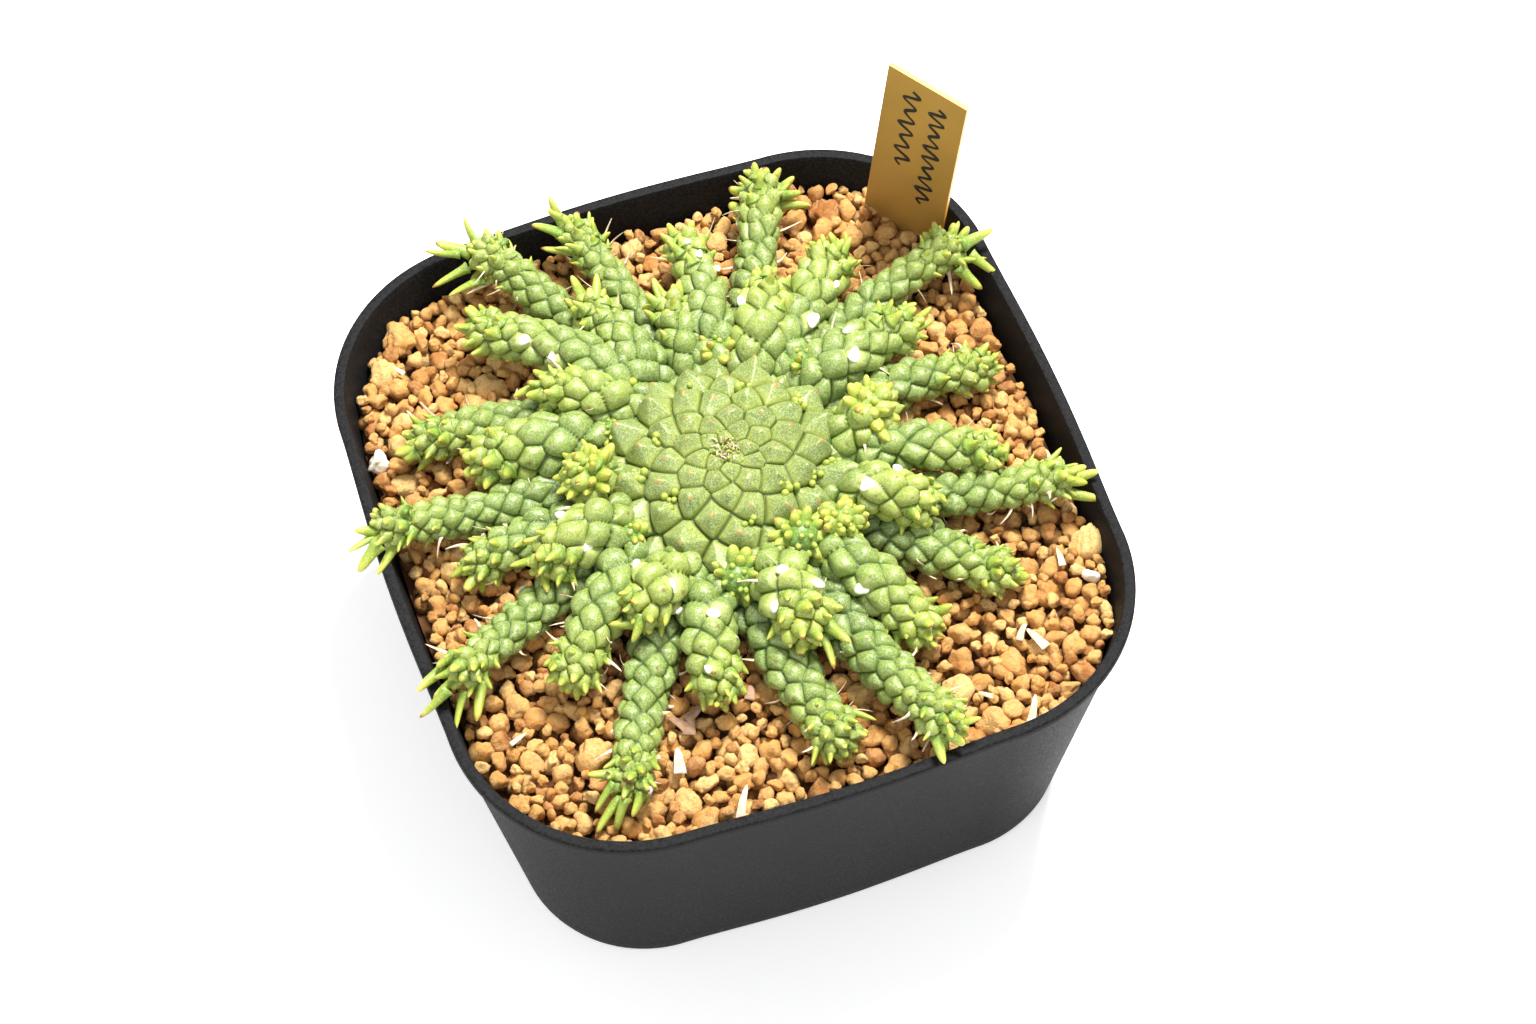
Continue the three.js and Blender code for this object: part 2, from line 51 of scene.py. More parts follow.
UP = np.array([0.0, 0.0, 1.0])


def rng_for(seed):
    return np.random.default_rng(seed)


def unit(v):
    v = np.asarray(v, float)
    return v / np.maximum(np.linalg.norm(v, axis=-1, keepdims=True), 1e-12)


def box_mm(node):
    low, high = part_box(node)
    return np.array(low) / MM, np.array(high) / MM


# ---- Levels and sizes taken from the frame -------------------------------------------
POT_LOW, POT_HIGH = box_mm("pot")
GRIT_LOW, GRIT_HIGH = box_mm("grit")
HEAD_LOW, HEAD_HIGH = box_mm("caudex")
RIM_Z = POT_HIGH[2]
GRIT_Z = GRIT_HIGH[2]
HEAD_RADIUS = (HEAD_HIGH[0] - HEAD_LOW[0]) / 2


# ---- The point of view ---------------------------------------------------------------
VIEW_TURN = math.radians(-18.35)
VIEW_RISE = math.radians(58.0)
VIEW_ROLL = math.radians(-1.4)
VIEW_DISTANCE = 588.2
VIEW_OFFSET = (6.39, -5.14)
LENS = 87.5


def view_axes():
    """Place of the camera, and its right, up and backward directions."""
    back = np.array([math.sin(VIEW_TURN) * math.cos(VIEW_RISE), -math.cos(VIEW_TURN) * math.cos(VIEW_RISE),
                     math.sin(VIEW_RISE)])
    right = unit(np.cross(-back, UP))
    above = np.cross(right, -back)
    c, s = math.cos(VIEW_ROLL), math.sin(VIEW_ROLL)
    right, above = c * right + s * above, -s * right + c * above
    place = UP * RIM_Z + back * VIEW_DISTANCE + VIEW_OFFSET[0] * right + VIEW_OFFSET[1] * above
    return place, right, above, back


EYE = view_axes()[0]


def sight(x, y):
    """Direction in which a place is seen, given where that sight line meets the rim's plane."""
    return unit(np.array([x, y, RIM_Z]) - EYE)


def seen_at(x, y, z):
    """Point at the height z that is seen at x, y on the rim's plane."""
    ray = sight(x, y)
    return EYE + ray * (z - EYE[2]) / ray[2]


# ---- Meshes --------------------------------------------------------------------------
def add_mesh(name, verts, faces, material, attributes=None, smooth=True):
    """A mesh object from points in mm, triangles, and one value per point for each attribute."""
    mesh = bpy.data.meshes.new(name)
    verts = np.ascontiguousarray(np.asarray(verts, np.float64) * MM, np.float32)
    faces = np.ascontiguousarray(faces, np.int32)
    mesh.vertices.add(len(verts))
    mesh.vertices.foreach_set("co", verts.ravel())
    mesh.loops.add(faces.size)
    mesh.loops.foreach_set("vertex_index", faces.ravel())
    mesh.polygons.add(len(faces))
    mesh.polygons.foreach_set("loop_start", np.arange(0, faces.size, 3, dtype=np.int32))
    mesh.polygons.foreach_set("use_smooth", np.full(len(faces), smooth))
    for key, values in (attributes or {}).items():
        layer = mesh.attributes.new(key, "FLOAT", "POINT")
        layer.data.foreach_set("value", np.ascontiguousarray(values, np.float32).ravel())
    mesh.update(calc_edges=True)
    mesh.validate()
    mesh.materials.append(material)
    piece = bpy.data.objects.new(name, mesh)
    bpy.context.scene.collection.objects.link(piece)
    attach(piece, "root")
    return piece


def grid_faces(rows, columns, closed=True):
    """Triangles of a grid of rows x columns points; closed joins the last column to the first."""
    span = columns if closed else columns - 1
    i, j = np.meshgrid(np.arange(rows - 1), np.arange(span), indexing="ij")
    k = (j + 1) % columns
    a, b = i * columns + j, i * columns + k
    c, d = (i + 1) * columns + k, (i + 1) * columns + j
    halves = [np.stack([a, b, c], -1), np.stack([a, c, d], -1)]
    return np.concatenate([half.reshape(-1, 3) for half in halves])


class Parts:
    """Gathers small shapes into one mesh."""

    def __init__(self):
        self.verts, self.faces, self.values, self.count = [], [], {}, 0

    def add(self, verts, faces, **values):
        self.verts.append(verts)
        self.faces.append(faces + self.count)
        self.count += len(verts)
        for key, value in values.items():
            self.values.setdefault(key, []).append(np.broadcast_to(value, len(verts)))

    def build(self, name, material, smooth=True):
        values = {key: np.concatenate(value) for key, value in self.values.items()}
        verts, faces = np.concatenate(self.verts), np.concatenate(self.faces)
        return add_mesh(name, verts, faces, material, values, smooth)


# ---- Materials -----------------------------------------------------------------------
def linear(red, green, blue):
    """Scene-linear colour from 0-255 display values."""
    c = np.array([red, green, blue]) / 255
    return tuple(np.where(c <= 0.04045, c / 12.92, ((c + 0.055) / 1.055) ** 2.4)) + (1.0,)


class Shader:
    """A principled material and short calls for the nodes it uses."""

    def __init__(self, name, roughness=0.5, specular=0.5):
        self.material = bpy.data.materials.new(name)
        self.material.use_nodes = True
        self.nodes = self.material.node_tree.nodes
        self.links = self.material.node_tree.links
        self.surface = self.nodes["Principled BSDF"]
        self.surface.inputs["Roughness"].default_value = roughness
        self.surface.inputs["Specular IOR Level"].default_value = specular
        self.place = self.nodes.new("ShaderNodeTexCoord").outputs["Object"]

    def feed(self, socket, value):
        if isinstance(value, bpy.types.NodeSocket):
            self.links.new(value, socket)
        else:
            socket.default_value = value

    def attribute(self, name):
        node = self.nodes.new("ShaderNodeAttribute")
        node.attribute_name = name
        return node.outputs["Fac"]

    def noise(self, scale, detail=3.0, roughness=0.55):
        node = self.nodes.new("ShaderNodeTexNoise")
        self.links.new(self.place, node.inputs["Vector"])
        node.inputs["Scale"].default_value = scale
        node.inputs["Detail"].default_value = detail
        node.inputs["Roughness"].default_value = roughness
        return node.outputs["Fac"]

    def voronoi(self, scale):
        node = self.nodes.new("ShaderNodeTexVoronoi")
        self.links.new(self.place, node.inputs["Vector"])
        node.inputs["Scale"].default_value = scale
        return node.outputs["Distance"]

    def math(self, operation, a, b=0.0):
        node = self.nodes.new("ShaderNodeMath")
        node.operation = operation
        self.feed(node.inputs[0], a)
        self.feed(node.inputs[1], b)
        return node.outputs[0]

    def span(self, value, low, high, out_low=0.0, out_high=1.0):
        """Maps low..high to out_low..out_high, clamped, with a smooth step."""
        node = self.nodes.new("ShaderNodeMapRange")
        node.interpolation_type = "SMOOTHSTEP"
        self.feed(node.inputs["Value"], value)
        node.inputs["From Min"].default_value = low
        node.inputs["From Max"].default_value = high
        node.inputs["To Min"].default_value = out_low
        node.inputs["To Max"].default_value = out_high
        return node.outputs["Result"]

    def mix(self, factor, a, b, blend="MIX"):
        node = self.nodes.new("ShaderNodeMix")
        node.data_type = "RGBA"
        node.blend_type = blend
        self.feed(node.inputs["Factor"], factor)
        self.feed(node.inputs[6], a)
        self.feed(node.inputs[7], b)
        return node.outputs[2]

    def tinted(self, factor, colour, red, green, blue):
        """The colour, by the factor, times a tint."""
        return self.mix(factor, colour, self.mix(1.0, colour, (red, green, blue, 1), "MULTIPLY"))

    def bump(self, *layers):
        """Chains bumps of (height, distance in mm, strength)."""
        normal = None
        for height, distance, strength in layers:
            node = self.nodes.new("ShaderNodeBump")
            node.inputs["Distance"].default_value = distance * MM
            node.inputs["Strength"].default_value = strength
            self.links.new(height, node.inputs["Height"])
            if normal is not None:
                self.links.new(normal, node.inputs["Normal"])
            normal = node.outputs["Normal"]
        self.links.new(normal, self.surface.inputs["Normal"])

    def colour(self, value):
        self.feed(self.surface.inputs["Base Color"], value)

    def flesh(self, weight, radius_mm, tint):
        self.surface.inputs["Subsurface Weight"].default_value = weight
        self.surface.inputs["Subsurface Radius"].default_value = tint
        self.surface.inputs["Subsurface Scale"].default_value = radius_mm * MM


def skin_material(name, old, mid, young, groove, wax, wax_share, facets, rim_glow, scar):
    """Plant skin: age along the limb, one tone per tubercle, painted shade on the flats, painted light
    towards the tops, waxy speckle, green grooves.

    `facets` is how much darker the painted shade makes the dark flats, and `rim_glow` how much paler the
    skin is by a groove.
    """
    s = Shader(name, roughness=0.4, specular=0.5)
    along = s.math("ADD", s.attribute("along"), s.math("MULTIPLY", s.attribute("fresh"), 0.45))
    along = s.math("ADD", along, s.math("MULTIPLY", s.math("SUBTRACT", s.noise(160), 0.5), 0.5))
    body = s.mix(s.span(along, 0.05, 0.6), old, mid)
    body = s.mix(s.span(along, 0.6, 1.25), body, young)
    tone = s.attribute("tone")
    body = s.tinted(s.math("MULTIPLY", tone, 0.3), body, 1.45, 1.35, 1.0)
    # Painted shade: some flats of each tubercle are darkened at random, to stand in for light meeting them
    # at different slants.
    flats = s.math("MULTIPLY", s.math("SUBTRACT", s.attribute("facet"), 0.4), facets)
    body = s.tinted(s.math("MAXIMUM", flats, 0.0), body, 0.5, 0.6, 0.42)
    rise = s.attribute("rise")
    body = s.tinted(s.span(rise, 0.15, 0.55, rim_glow, 0.0), body, 1.6, 1.4, 0.85)
    # Painted light: paler towards each tubercle's apex, to bring out its relief.
    body = s.tinted(s.span(rise, 0.7, 1.0, 0.0, 0.45), body, 1.3, 1.22, 1.05)
    body = s.tinted(s.math("MULTIPLY", s.attribute("shade"), 0.8), body, 0.42, 0.56, 0.4)
    mottle = s.span(s.noise(1100, 4.0, 0.65), 0.38, 0.66)
    body = s.tinted(s.math("MULTIPLY", mottle, 0.38), body, 0.55, 0.68, 0.5)
    speckle = s.span(s.noise(3600, 3.0, 0.75), 0.48, 0.56)
    edge = s.attribute("groove")
    inner = s.span(edge, 0.02, 0.6, 1.0, 0.0)
    speckle = s.math("MULTIPLY", s.math("MULTIPLY", speckle, inner), wax_share)
    body = s.mix(speckle, body, wax)
    body = s.mix(s.span(edge, 0.2, 1.0, 0.0, 0.95), body, groove)
    body = s.mix(s.span(s.attribute("scar"), 0.3, 0.8, 0.0, 0.85), body, scar)
    body = s.mix(s.math("MULTIPLY", s.attribute("pale"), 0.6), body, linear(206, 214, 130))
    s.colour(body)
    s.flesh(0.08, 0.8, (0.5, 0.9, 0.2))
    s.bump((s.noise(2800, 4.0, 0.7), 0.06, 0.7), (s.noise(800, 2.0), 0.14, 0.4))
    return s.material


def leaf_material(name, base, middle, tip, scorched):
    s = Shader(name, roughness=0.42, specular=0.4)
    along = s.attribute("along")
    tone = s.attribute("tone")
    body = s.mix(s.span(along, 0.0, 0.45), base, middle)
    body = s.mix(s.span(along, 0.4, 0.95), body, tip)
    body = s.mix(s.math("MULTIPLY", tone, 0.3), body, tip)
    speck = s.span(s.noise(3000, 3.0, 0.7), 0.5, 0.66, 0.0, 0.3)
    body = s.mix(speck, body, linear(226, 228, 176))
    burnt = s.math("MULTIPLY", s.span(along, 0.84, 0.98), s.span(s.attribute("burn"), 0.45, 0.9))
    body = s.mix(burnt, body, scorched)
    s.colour(body)
    s.flesh(0.18, 0.8, (0.7, 0.9, 0.2))
    s.bump((s.noise(2200, 3.0), 0.04, 0.4))
    return s.material


def grit_material():
    s = Shader("grit_stone", roughness=0.95, specular=0.18)
    tone = s.attribute("tone")
    body = s.mix(s.span(tone, 0.0, 0.5), linear(164, 104, 54), linear(212, 156, 86))
    body = s.mix(s.span(tone, 0.5, 1.0), body, linear(232, 192, 124))
    patch = s.span(s.noise(420, 4.0, 0.65), 0.36, 0.64)
    body = s.mix(s.math("MULTIPLY", patch, 0.45), body, linear(224, 186, 126))
    crust = s.span(s.noise(1500, 5.0, 0.7), 0.5, 0.68)
    body = s.mix(s.math("MULTIPLY", crust, 0.5), body, linear(152, 98, 50))
    pores = s.span(s.voronoi(2600), 0.08, 0.26, 1.0, 0.0)
    pores = s.math("MULTIPLY", pores, s.span(s.noise(700), 0.42, 0.6))
    body = s.mix(s.math("MULTIPLY", pores, 0.75), body, linear(96, 58, 32))
    # Painted shade: the grit darkens with depth below its top, for the shade in the gaps between stones.
    painted_low_shade = s.span(s.attribute("depth"), 0.3, 1.0, 0.0, 0.8)
    body = s.tinted(painted_low_shade, body, 0.36, 0.28, 0.22)
    s.colour(body)
    s.bump((s.noise(2400, 5.0, 0.75), 0.3, 1.0), (s.noise(900, 4.0, 0.7), 0.5, 0.8))
    return s.material


def plain_material(name, colour, shade, scale, roughness=0.8, specular=0.3, share=0.5, depth=0.06):
    """A matte material whose colour wanders between two near values."""
    s = Shader(name, roughness=roughness, specular=specular)
    s.colour(s.mix(s.math("MULTIPLY", s.span(s.noise(scale, 4.0, 0.6), 0.35, 0.65), share), colour, shade))
    s.bump((s.noise(scale * 2.5, 4.0, 0.65), depth, 0.6))
    return s.material


def pot_material():
    s = Shader("pot_plastic", roughness=0.6, specular=0.045)
    grain = s.noise(2300, 3.0, 0.65)
    cloud = s.noise(90, 3.0)
    body = s.mix(s.span(grain, 0.35, 0.65), linear(17, 17, 18), linear(38, 38, 39))
    body = s.mix(s.span(cloud, 0.3, 0.7, 0.0, 0.3), body, linear(34, 34, 35))
    s.colour(body)
    s.feed(s.surface.inputs["Roughness"], s.span(grain, 0.3, 0.7, 0.45, 0.68))
    s.bump((grain, 0.09, 0.75), (s.noise(5200, 2.0), 0.03, 0.5))
    return s.material


MATERIALS = {
    "head": skin_material(
        "head_skin", linear(100, 120, 68), linear(118, 134, 66), linear(134, 146, 62), linear(44, 68, 28),
        linear(182, 190, 142), wax_share=0.5, facets=1.0, rim_glow=0.6, scar=linear(158, 128, 70)),
    "arm": skin_material(
        "arm_skin", linear(92, 116, 74), linear(116, 138, 60), linear(148, 160, 54), linear(44, 70, 28),
        linear(180, 188, 142), wax_share=0.5, facets=0.6, rim_glow=0.2, scar=linear(124, 92, 52)),
    "leaf": leaf_material(
        "leaf_skin", linear(98, 134, 46), linear(128, 152, 46), linear(176, 178, 70), linear(140, 84, 46)),
    "bud": leaf_material(
        "bud_skin", linear(92, 128, 48), linear(118, 146, 50), linear(166, 174, 66), linear(176, 112, 56)),
    "grit": grit_material(),
    # Darker than the stones: painted shade for the gaps under the top stones.
    "bed": plain_material(
        "grit_bed_painted_shade", linear(84, 54, 32), linear(112, 74, 44), 700, roughness=0.95, specular=0.1),
    "pot": pot_material(),
    "latex": plain_material(
        "dried_latex", linear(250, 248, 242), linear(222, 220, 208), 1200,
        roughness=0.45, specular=0.4, share=0.4, depth=0.04),
    "husk": plain_material(
        "dry_husk", linear(226, 212, 186), linear(176, 146, 108), 900,
        roughness=0.75, specular=0.25, share=0.8, depth=0.08),
    "perlite": plain_material(
        "pale_stone", linear(236, 230, 214), linear(198, 186, 160), 900,
        roughness=0.9, specular=0.2, share=0.7, depth=0.15),
    "papery": plain_material(
        "papery_flake", linear(176, 142, 116), linear(126, 94, 72), 700,
        roughness=0.8, specular=0.2, share=0.8, depth=0.1),
    "ink": plain_material(
        "pen_ink", linear(24, 24, 26), linear(40, 40, 44), 800,
        roughness=0.5, specular=0.3, share=0.5, depth=0.01),
}


# ---- Limbs ---------------------------------------------------------------------------
def surface_samples(name):
    """Evenly weighted sample points on a CAD node, in mm, and the area that each stands for."""
    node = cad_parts[name]
    mesh = node.data
    mesh.calc_loop_triangles()
    co = np.empty(len(mesh.vertices) * 3)
    mesh.vertices.foreach_get("co", co)
    matrix = np.array(node.matrix_world)
    co = (co.reshape(-1, 3) @ matrix[:3, :3].T + matrix[:3, 3]) / MM
    index = np.empty(len(mesh.loop_triangles) * 3, np.int32)
    mesh.loop_triangles.foreach_get("vertices", index)
    a, b, c = (co[index.reshape(-1, 3)[:, k]] for k in range(3))
    steps = 7
    weights = [((i + 1 / 3) / steps, (j + 1 / 3) / steps) for i in range(steps) for j in range(steps - i)]
    points = np.concatenate([a * (1 - u - v) + b * u + c * v for u, v in weights])
    area = np.linalg.norm(np.cross(b - a, c - a), axis=1) / 2 / len(weights)
    return points, np.tile(area, len(weights))


BIN = 1.5  # width of a slice, in mm from the axis
LEAF_GIRTH = 0.5  # a slice with less than this share of the usual girth is only leaves
LEAST_SAMPLES = 5  # in a slice that counts
OUTER_SHARE = 0.55  # share of an arm's reach, from its tip, whose slices are whole
TIP_MARGIN, GIRTH_MARGIN = 1.0, 3.0  # mm at the tip whose slices are too short for place and for girth
SKIN_OVER_CAD = 1.03  # radius of the limb as a share of the solid's
RISE_NEAR, RISE_FAR = 5.0, 9.0  # mm from the start within which the root comes up to the arm's level
LEAST_LEVEL = 2.5  # mm above the grit at the end of that rise


def centre_line(name, root_z, start):
    """Where an arm's centre runs, and how thick it is, read from slices of its CAD solid.

    The outer part of the solid is whole, and the root end is cut by its neighbours. So the
    outer slices give the line, and it runs on inwards to `start` at the height `root_z`.
    """
    points, area = surface_samples(name)
    out = np.hypot(points[:, 0], points[:, 1])
    mean_x, mean_y = np.average(points[:, :2], axis=0, weights=area)
    middle = math.atan2(mean_y, mean_x)
    turn = middle + (np.arctan2(points[:, 1], points[:, 0]) - middle + math.pi) % (2 * math.pi) - math.pi
    edges = np.arange(out.min(), out.max() + BIN, BIN)
    rows = []
    for low in edges[:-1]:
        inside = (out >= low) & (out < low + BIN)
        if inside.sum() < LEAST_SAMPLES:
            continue
        w = area[inside]
        rows.append([low + BIN / 2, np.average(turn[inside], weights=w),
                     np.average(points[inside, 2], weights=w), w.sum() / BIN])
    rows = np.array(rows)
    usual = np.median(rows[:, 3])
    whole = rows[rows[:, 3] > LEAF_GIRTH * usual]
    tip = whole[-1, 0] + BIN / 2
    reach = tip - whole[0, 0]
    clean = whole[whole[:, 0] > tip - OUTER_SHARE * reach]
    clean = clean[clean[:, 0] < tip - TIP_MARGIN]
    slope, offset = np.polyfit(clean[:, 0], clean[:, 1], 1)
    girth = clean[clean[:, 0] < tip - GIRTH_MARGIN][:, 3]
    radius = (np.median(girth) if len(girth) else usual) / (2 * math.pi) * SKIN_OVER_CAD
    rise = max(min(clean[0, 0], start + RISE_FAR), start + RISE_NEAR)
    stations = np.unique(np.concatenate([np.linspace(start, rise, 4), clean[:, 0], [tip]]))
    free = clean[clean[:, 0] >= rise]
    free = free if len(free) else clean[-1:]
    level = max(free[0, 2], GRIT_Z + LEAST_LEVEL)
    heights = np.interp(stations, np.r_[start, rise, free[:, 0] + 0.01], np.r_[root_z, level, free[:, 2]])
    turns = offset + slope * stations
    line = np.stack([stations * np.cos(turns), stations * np.sin(turns), heights], -1)
    return line, radius


def smooth_line(line, step=0.25):
    """The line resampled at an even step and rounded off."""
    span = np.r_[0, np.cumsum(np.linalg.norm(np.diff(line, axis=0), axis=1))]
    along = np.linspace(0, span[-1], max(int(span[-1] / step), 8))
    dense = np.stack([np.interp(along, span, line[:, k]) for k in range(3)], -1)
    reach = int(5 / step) | 1
    window = np.hanning(reach + 2)[1:-1]
    window /= window.sum()
    half = reach // 2
    ends = [2 * dense[0] - dense[half:0:-1], dense, 2 * dense[-1] - dense[-2:-half - 2:-1]]
    padded = np.concatenate(ends)
    return np.stack([np.convolve(padded[:, k], window, "valid") for k in range(3)], -1)


OVAL = 0.06  # share by which a limb is out of round
WAVE, WAVE_RATE = 0.035, 0.45  # share by which it swells and narrows, and radians of that in each mm


class Limb:
    """A tapered round limb along a line, with a domed tip, placed by distance and turn."""

    def __init__(self, line, root_radius, tip_radius, blunt=1.0):
        line = smooth_line(line)
        tangent = unit(np.gradient(line, axis=0))
        step = np.r_[0, np.cumsum(np.linalg.norm(np.diff(line, axis=0), axis=1))]
        body = step[-1] - tip_radius * blunt
        keep = step <= body
        line, tangent, step = line[keep], tangent[keep], step[keep]
        radius = np.interp(step, [0, step[-1]], [root_radius, tip_radius])
        cap = np.linspace(0, math.pi / 2, 14)[1:]
        dome = line[-1] + tangent[-1] * (np.sin(cap) * tip_radius * blunt)[:, None]
        arc = step[-1] + cap * tip_radius * (1 + blunt) / 2
        self.s = np.r_[step, arc]
        self.centre = np.concatenate([line, dome])
        self.tangent = np.concatenate([tangent, np.repeat(tangent[-1:], len(cap), 0)])
        self.radius = np.r_[radius, np.cos(cap) * tip_radius]
        self.slope = np.r_[np.zeros(len(step)), cap]
        self.length = self.s[-1]

    def pick(self, s, table):
        return np.stack([np.interp(s, self.s, table[:, k]) for k in range(3)], -1)

    def at(self, s, turn, wobble=None):
        """Point, outward normal and tangent at a distance along and a turn round (0 is up)."""
        centre, tangent = self.pick(s, self.centre), unit(self.pick(s, self.tangent))
        radius, slope = np.interp(s, self.s, self.radius), np.interp(s, self.s, self.slope)
        side = unit(np.cross(UP, tangent))
        over = np.cross(tangent, side)
        radial = over * np.cos(turn)[..., None] + side * np.sin(turn)[..., None]
        if wobble is not None:
            wave = WAVE * np.sin(WAVE_RATE * s + wobble * 3)
            radius = radius * (1 + OVAL * np.cos(2 * turn + wobble) + wave)
        normal = unit(radial * np.cos(slope)[..., None] + tangent * np.sin(slope)[..., None])
        return centre + radial * radius[..., None], normal, tangent


JITTER = 0.11  # of a tubercle's place, in its widths
PACKING = 0.86  # area of a tubercle as a share of its width squared


def spiral_seeds(limb, cell_root, cell_tip, rng):
    """Places for tubercles in a golden-angle spiral, closer together towards the tip."""
    s, turn, seeds = 0.0, rng.uniform(0, 2 * math.pi), []
    while s < limb.length - 0.12:
        cell = np.interp(s / limb.length, [0, 0.6, 1], [cell_root, cell_root * 0.93, cell_tip])
        radius = max(np.interp(s, limb.s, limb.radius), cell * 0.28)
        seeds.append([s + rng.normal(0, JITTER) * cell, turn + rng.normal(0, JITTER) * cell / radius,
                      cell * rng.uniform(0.88, 1.12)])
        s += cell * cell * PACKING / (2 * math.pi * radius)
        turn += GOLDEN
    seeds = np.array(seeds)
    seeds[:, 0] = np.clip(seeds[:, 0], 0, limb.length - 0.02)
    return seeds


BLOCK = 8192  # points whose distances are worked out at once


def two_nearest(points, seeds, cells):
    """Distances to the nearest two seeds in cell widths, and which seeds those are."""
    first, second = np.empty(len(points)), np.empty(len(points))
    owner, other = np.empty(len(points), int), np.empty(len(points), int)
    square = (seeds ** 2).sum(1)
    for low in range(0, len(points), BLOCK):
        part = slice(low, low + BLOCK)
        block = points[part]
        d = (block ** 2).sum(1)[:, None] + square - 2 * block @ seeds.T
        d = np.sqrt(np.maximum(d, 0)) / cells
        rows = np.arange(len(block))
        owner[part] = d.argmin(1)
        first[part] = d[rows, owner[part]]
        d[rows, owner[part]] = np.inf
        other[part] = d.argmin(1)
        second[part] = d[rows, other[part]]
    return first, second, owner, other


TONES = 997  # a prime, so that neighbouring flats draw from all over the table


def painted_facet_shade(owner, other, rng):
    """Painted shade, 0 to 1, for each flat of a tubercle, one for each neighbour that it faces, drawn at
    random.
    """
    table = rng.random(TONES)
    return table[(owner * 131 + other * 17) % TONES]


SKIN_STEP = 0.27  # mm between the points of a skin
NO_SCAR = 0.001


def skin_grid(first, length, radius):
    """Distances along and turns round for the points of a skin, and its triangles."""
    rows = np.linspace(first, length, int(length / SKIN_STEP))
    columns = int(2 * math.pi * radius / SKIN_STEP)
    turns = np.arange(columns) * 2 * math.pi / columns
    s, turn = (a.ravel() for a in np.meshgrid(rows, turns, indexing="ij"))
    return s, turn, grid_faces(len(rows), columns)


def scar_sizes(count, share, low, high, rng):
    """Sizes of the leaf scars, in widths of a tubercle, on a share of the tubercles."""
    return np.where(rng.random(count) < share, rng.uniform(low, high, count), NO_SCAR)


def past_seed(points, where, ahead, cells, owner, shift):
    """Distance from a place that lies `shift` ahead of each point's own seed, in widths of a tubercle."""
    place = where + ahead * (cells * shift)[:, None]
    return np.linalg.norm(points - place[owner], axis=1) / cells[owner]


# Shape of a tubercle on an arm, in widths of a tubercle.
GROOVE = 0.1
SHOULDER = 0.3
DOME = 0.7
SKIN_SUNK = 0.35  # mm that the groove level lies inside the limb


def tubercled(limb, seeds, rng):
    """The limb's skin with a raised tubercle at each seed. Returns points, faces, attributes, normals."""
    s, turn, faces = skin_grid(0, limb.length, limb.radius.max())
    wobble = rng.uniform(0, 6)
    points, normals, tangents = limb.at(s, turn, wobble)
    where, _, forward = limb.at(seeds[:, 0], seeds[:, 1], wobble)
    cells = seeds[:, 2]
    first, second, owner, other = two_nearest(points, where, cells)
    edge = second - first
    cell = cells[owner]
    crease = np.exp(-(edge / GROOVE) ** 2)
    pillow = 1 - np.exp(-edge / SHOULDER)
    dome = np.clip(1 - (first / DOME) ** 2, 0, 1)
    lean = ((points - where[owner]) * tangents).sum(1) / cell
    swell = rng.uniform(0.7, 1.3, len(seeds))[owner]
    near_tip = np.clip(1 - (limb.length - s) / 8, 0, 1)
    roof = np.clip(edge, 0, 1.1) ** 1.2
    relief = swell * (0.14 * pillow + 0.1 * dome + 0.12 * roof) + 0.16 * lean * pillow - 0.07 * crease
    height = cell * (1 + 0.7 * near_tip) * relief - SKIN_SUNK
    scar_size = scar_sizes(len(seeds), 0.5, 0.05, 0.1, rng)
    scar = np.exp(-(past_seed(points, where, forward, cells, owner, 0.16) / scar_size[owner]) ** 2)
    height -= scar * 0.1
    dark = rng.uniform(0, 0.8, len(seeds)) ** 1.5
    low = past_seed(points, where, forward, cells, owner, 0.22)
    values = {
        "groove": crease,
        # The rise also sets the painted light towards each apex.
        "rise": 0.7 * pillow + 0.4 * roof,
        "tone": rng.random(len(seeds))[owner],
        # Painted shade for the flats of the tubercles.
        "facet": painted_facet_shade(owner, other, rng),
        "along": s / limb.length,
        "shade": dark[owner] * np.exp(-(low / 0.2) ** 2),
        "scar": scar,
    }
    return points + normals * height[:, None], faces, values, normals


def blade(root, heading, bend, across, length, width, flat, sharp, flare, rings=12, sides=9):
    """A fleshy leaf or a dry flake: a bent, tapered, flattened tube. Returns points, faces, along.

    `flat` is its thickness as a share of its width, `sharp` is 0 for a round end and 1 for a pointed one,
    and `flare` is how much wider it is at its foot.
    """
    t = np.linspace(0, 1, rings)
    t = 1 - (1 - t) ** 1.5
    spine = root + heading * (t * length)[:, None] + bend * ((t ** 2) * length)[:, None]
    forward = unit(np.gradient(spine, axis=0))
    side = unit(across - forward * (forward @ across)[:, None])
    over = np.cross(forward, side)
    pointed = (1 - t) ** 0.75
    finger = np.sqrt(np.clip(1 - t ** 4, 0, 1))
    half = width / 2 * (sharp * pointed + (1 - sharp) * finger) * (1 + flare * np.exp(-t / 0.16))
    turn = np.arange(sides) * 2 * math.pi / sides
    wide = side[:, None] * np.cos(turn)[None, :, None]
    thick = over[:, None] * (flat * np.sin(turn))[None, :, None]
    points = (spine[:, None] + (wide + thick) * half[:, None, None]).reshape(-1, 3)
    faces = grid_faces(rings, sides)
    caps = np.arange(1, sides - 1)
    start = np.stack([np.zeros_like(caps), caps + 1, caps], -1)
    last = (rings - 1) * sides
    end = np.stack([np.full_like(caps, last), last + caps, last + caps + 1], -1)
    return points, np.concatenate([faces, start, end]), np.repeat(t, sides)


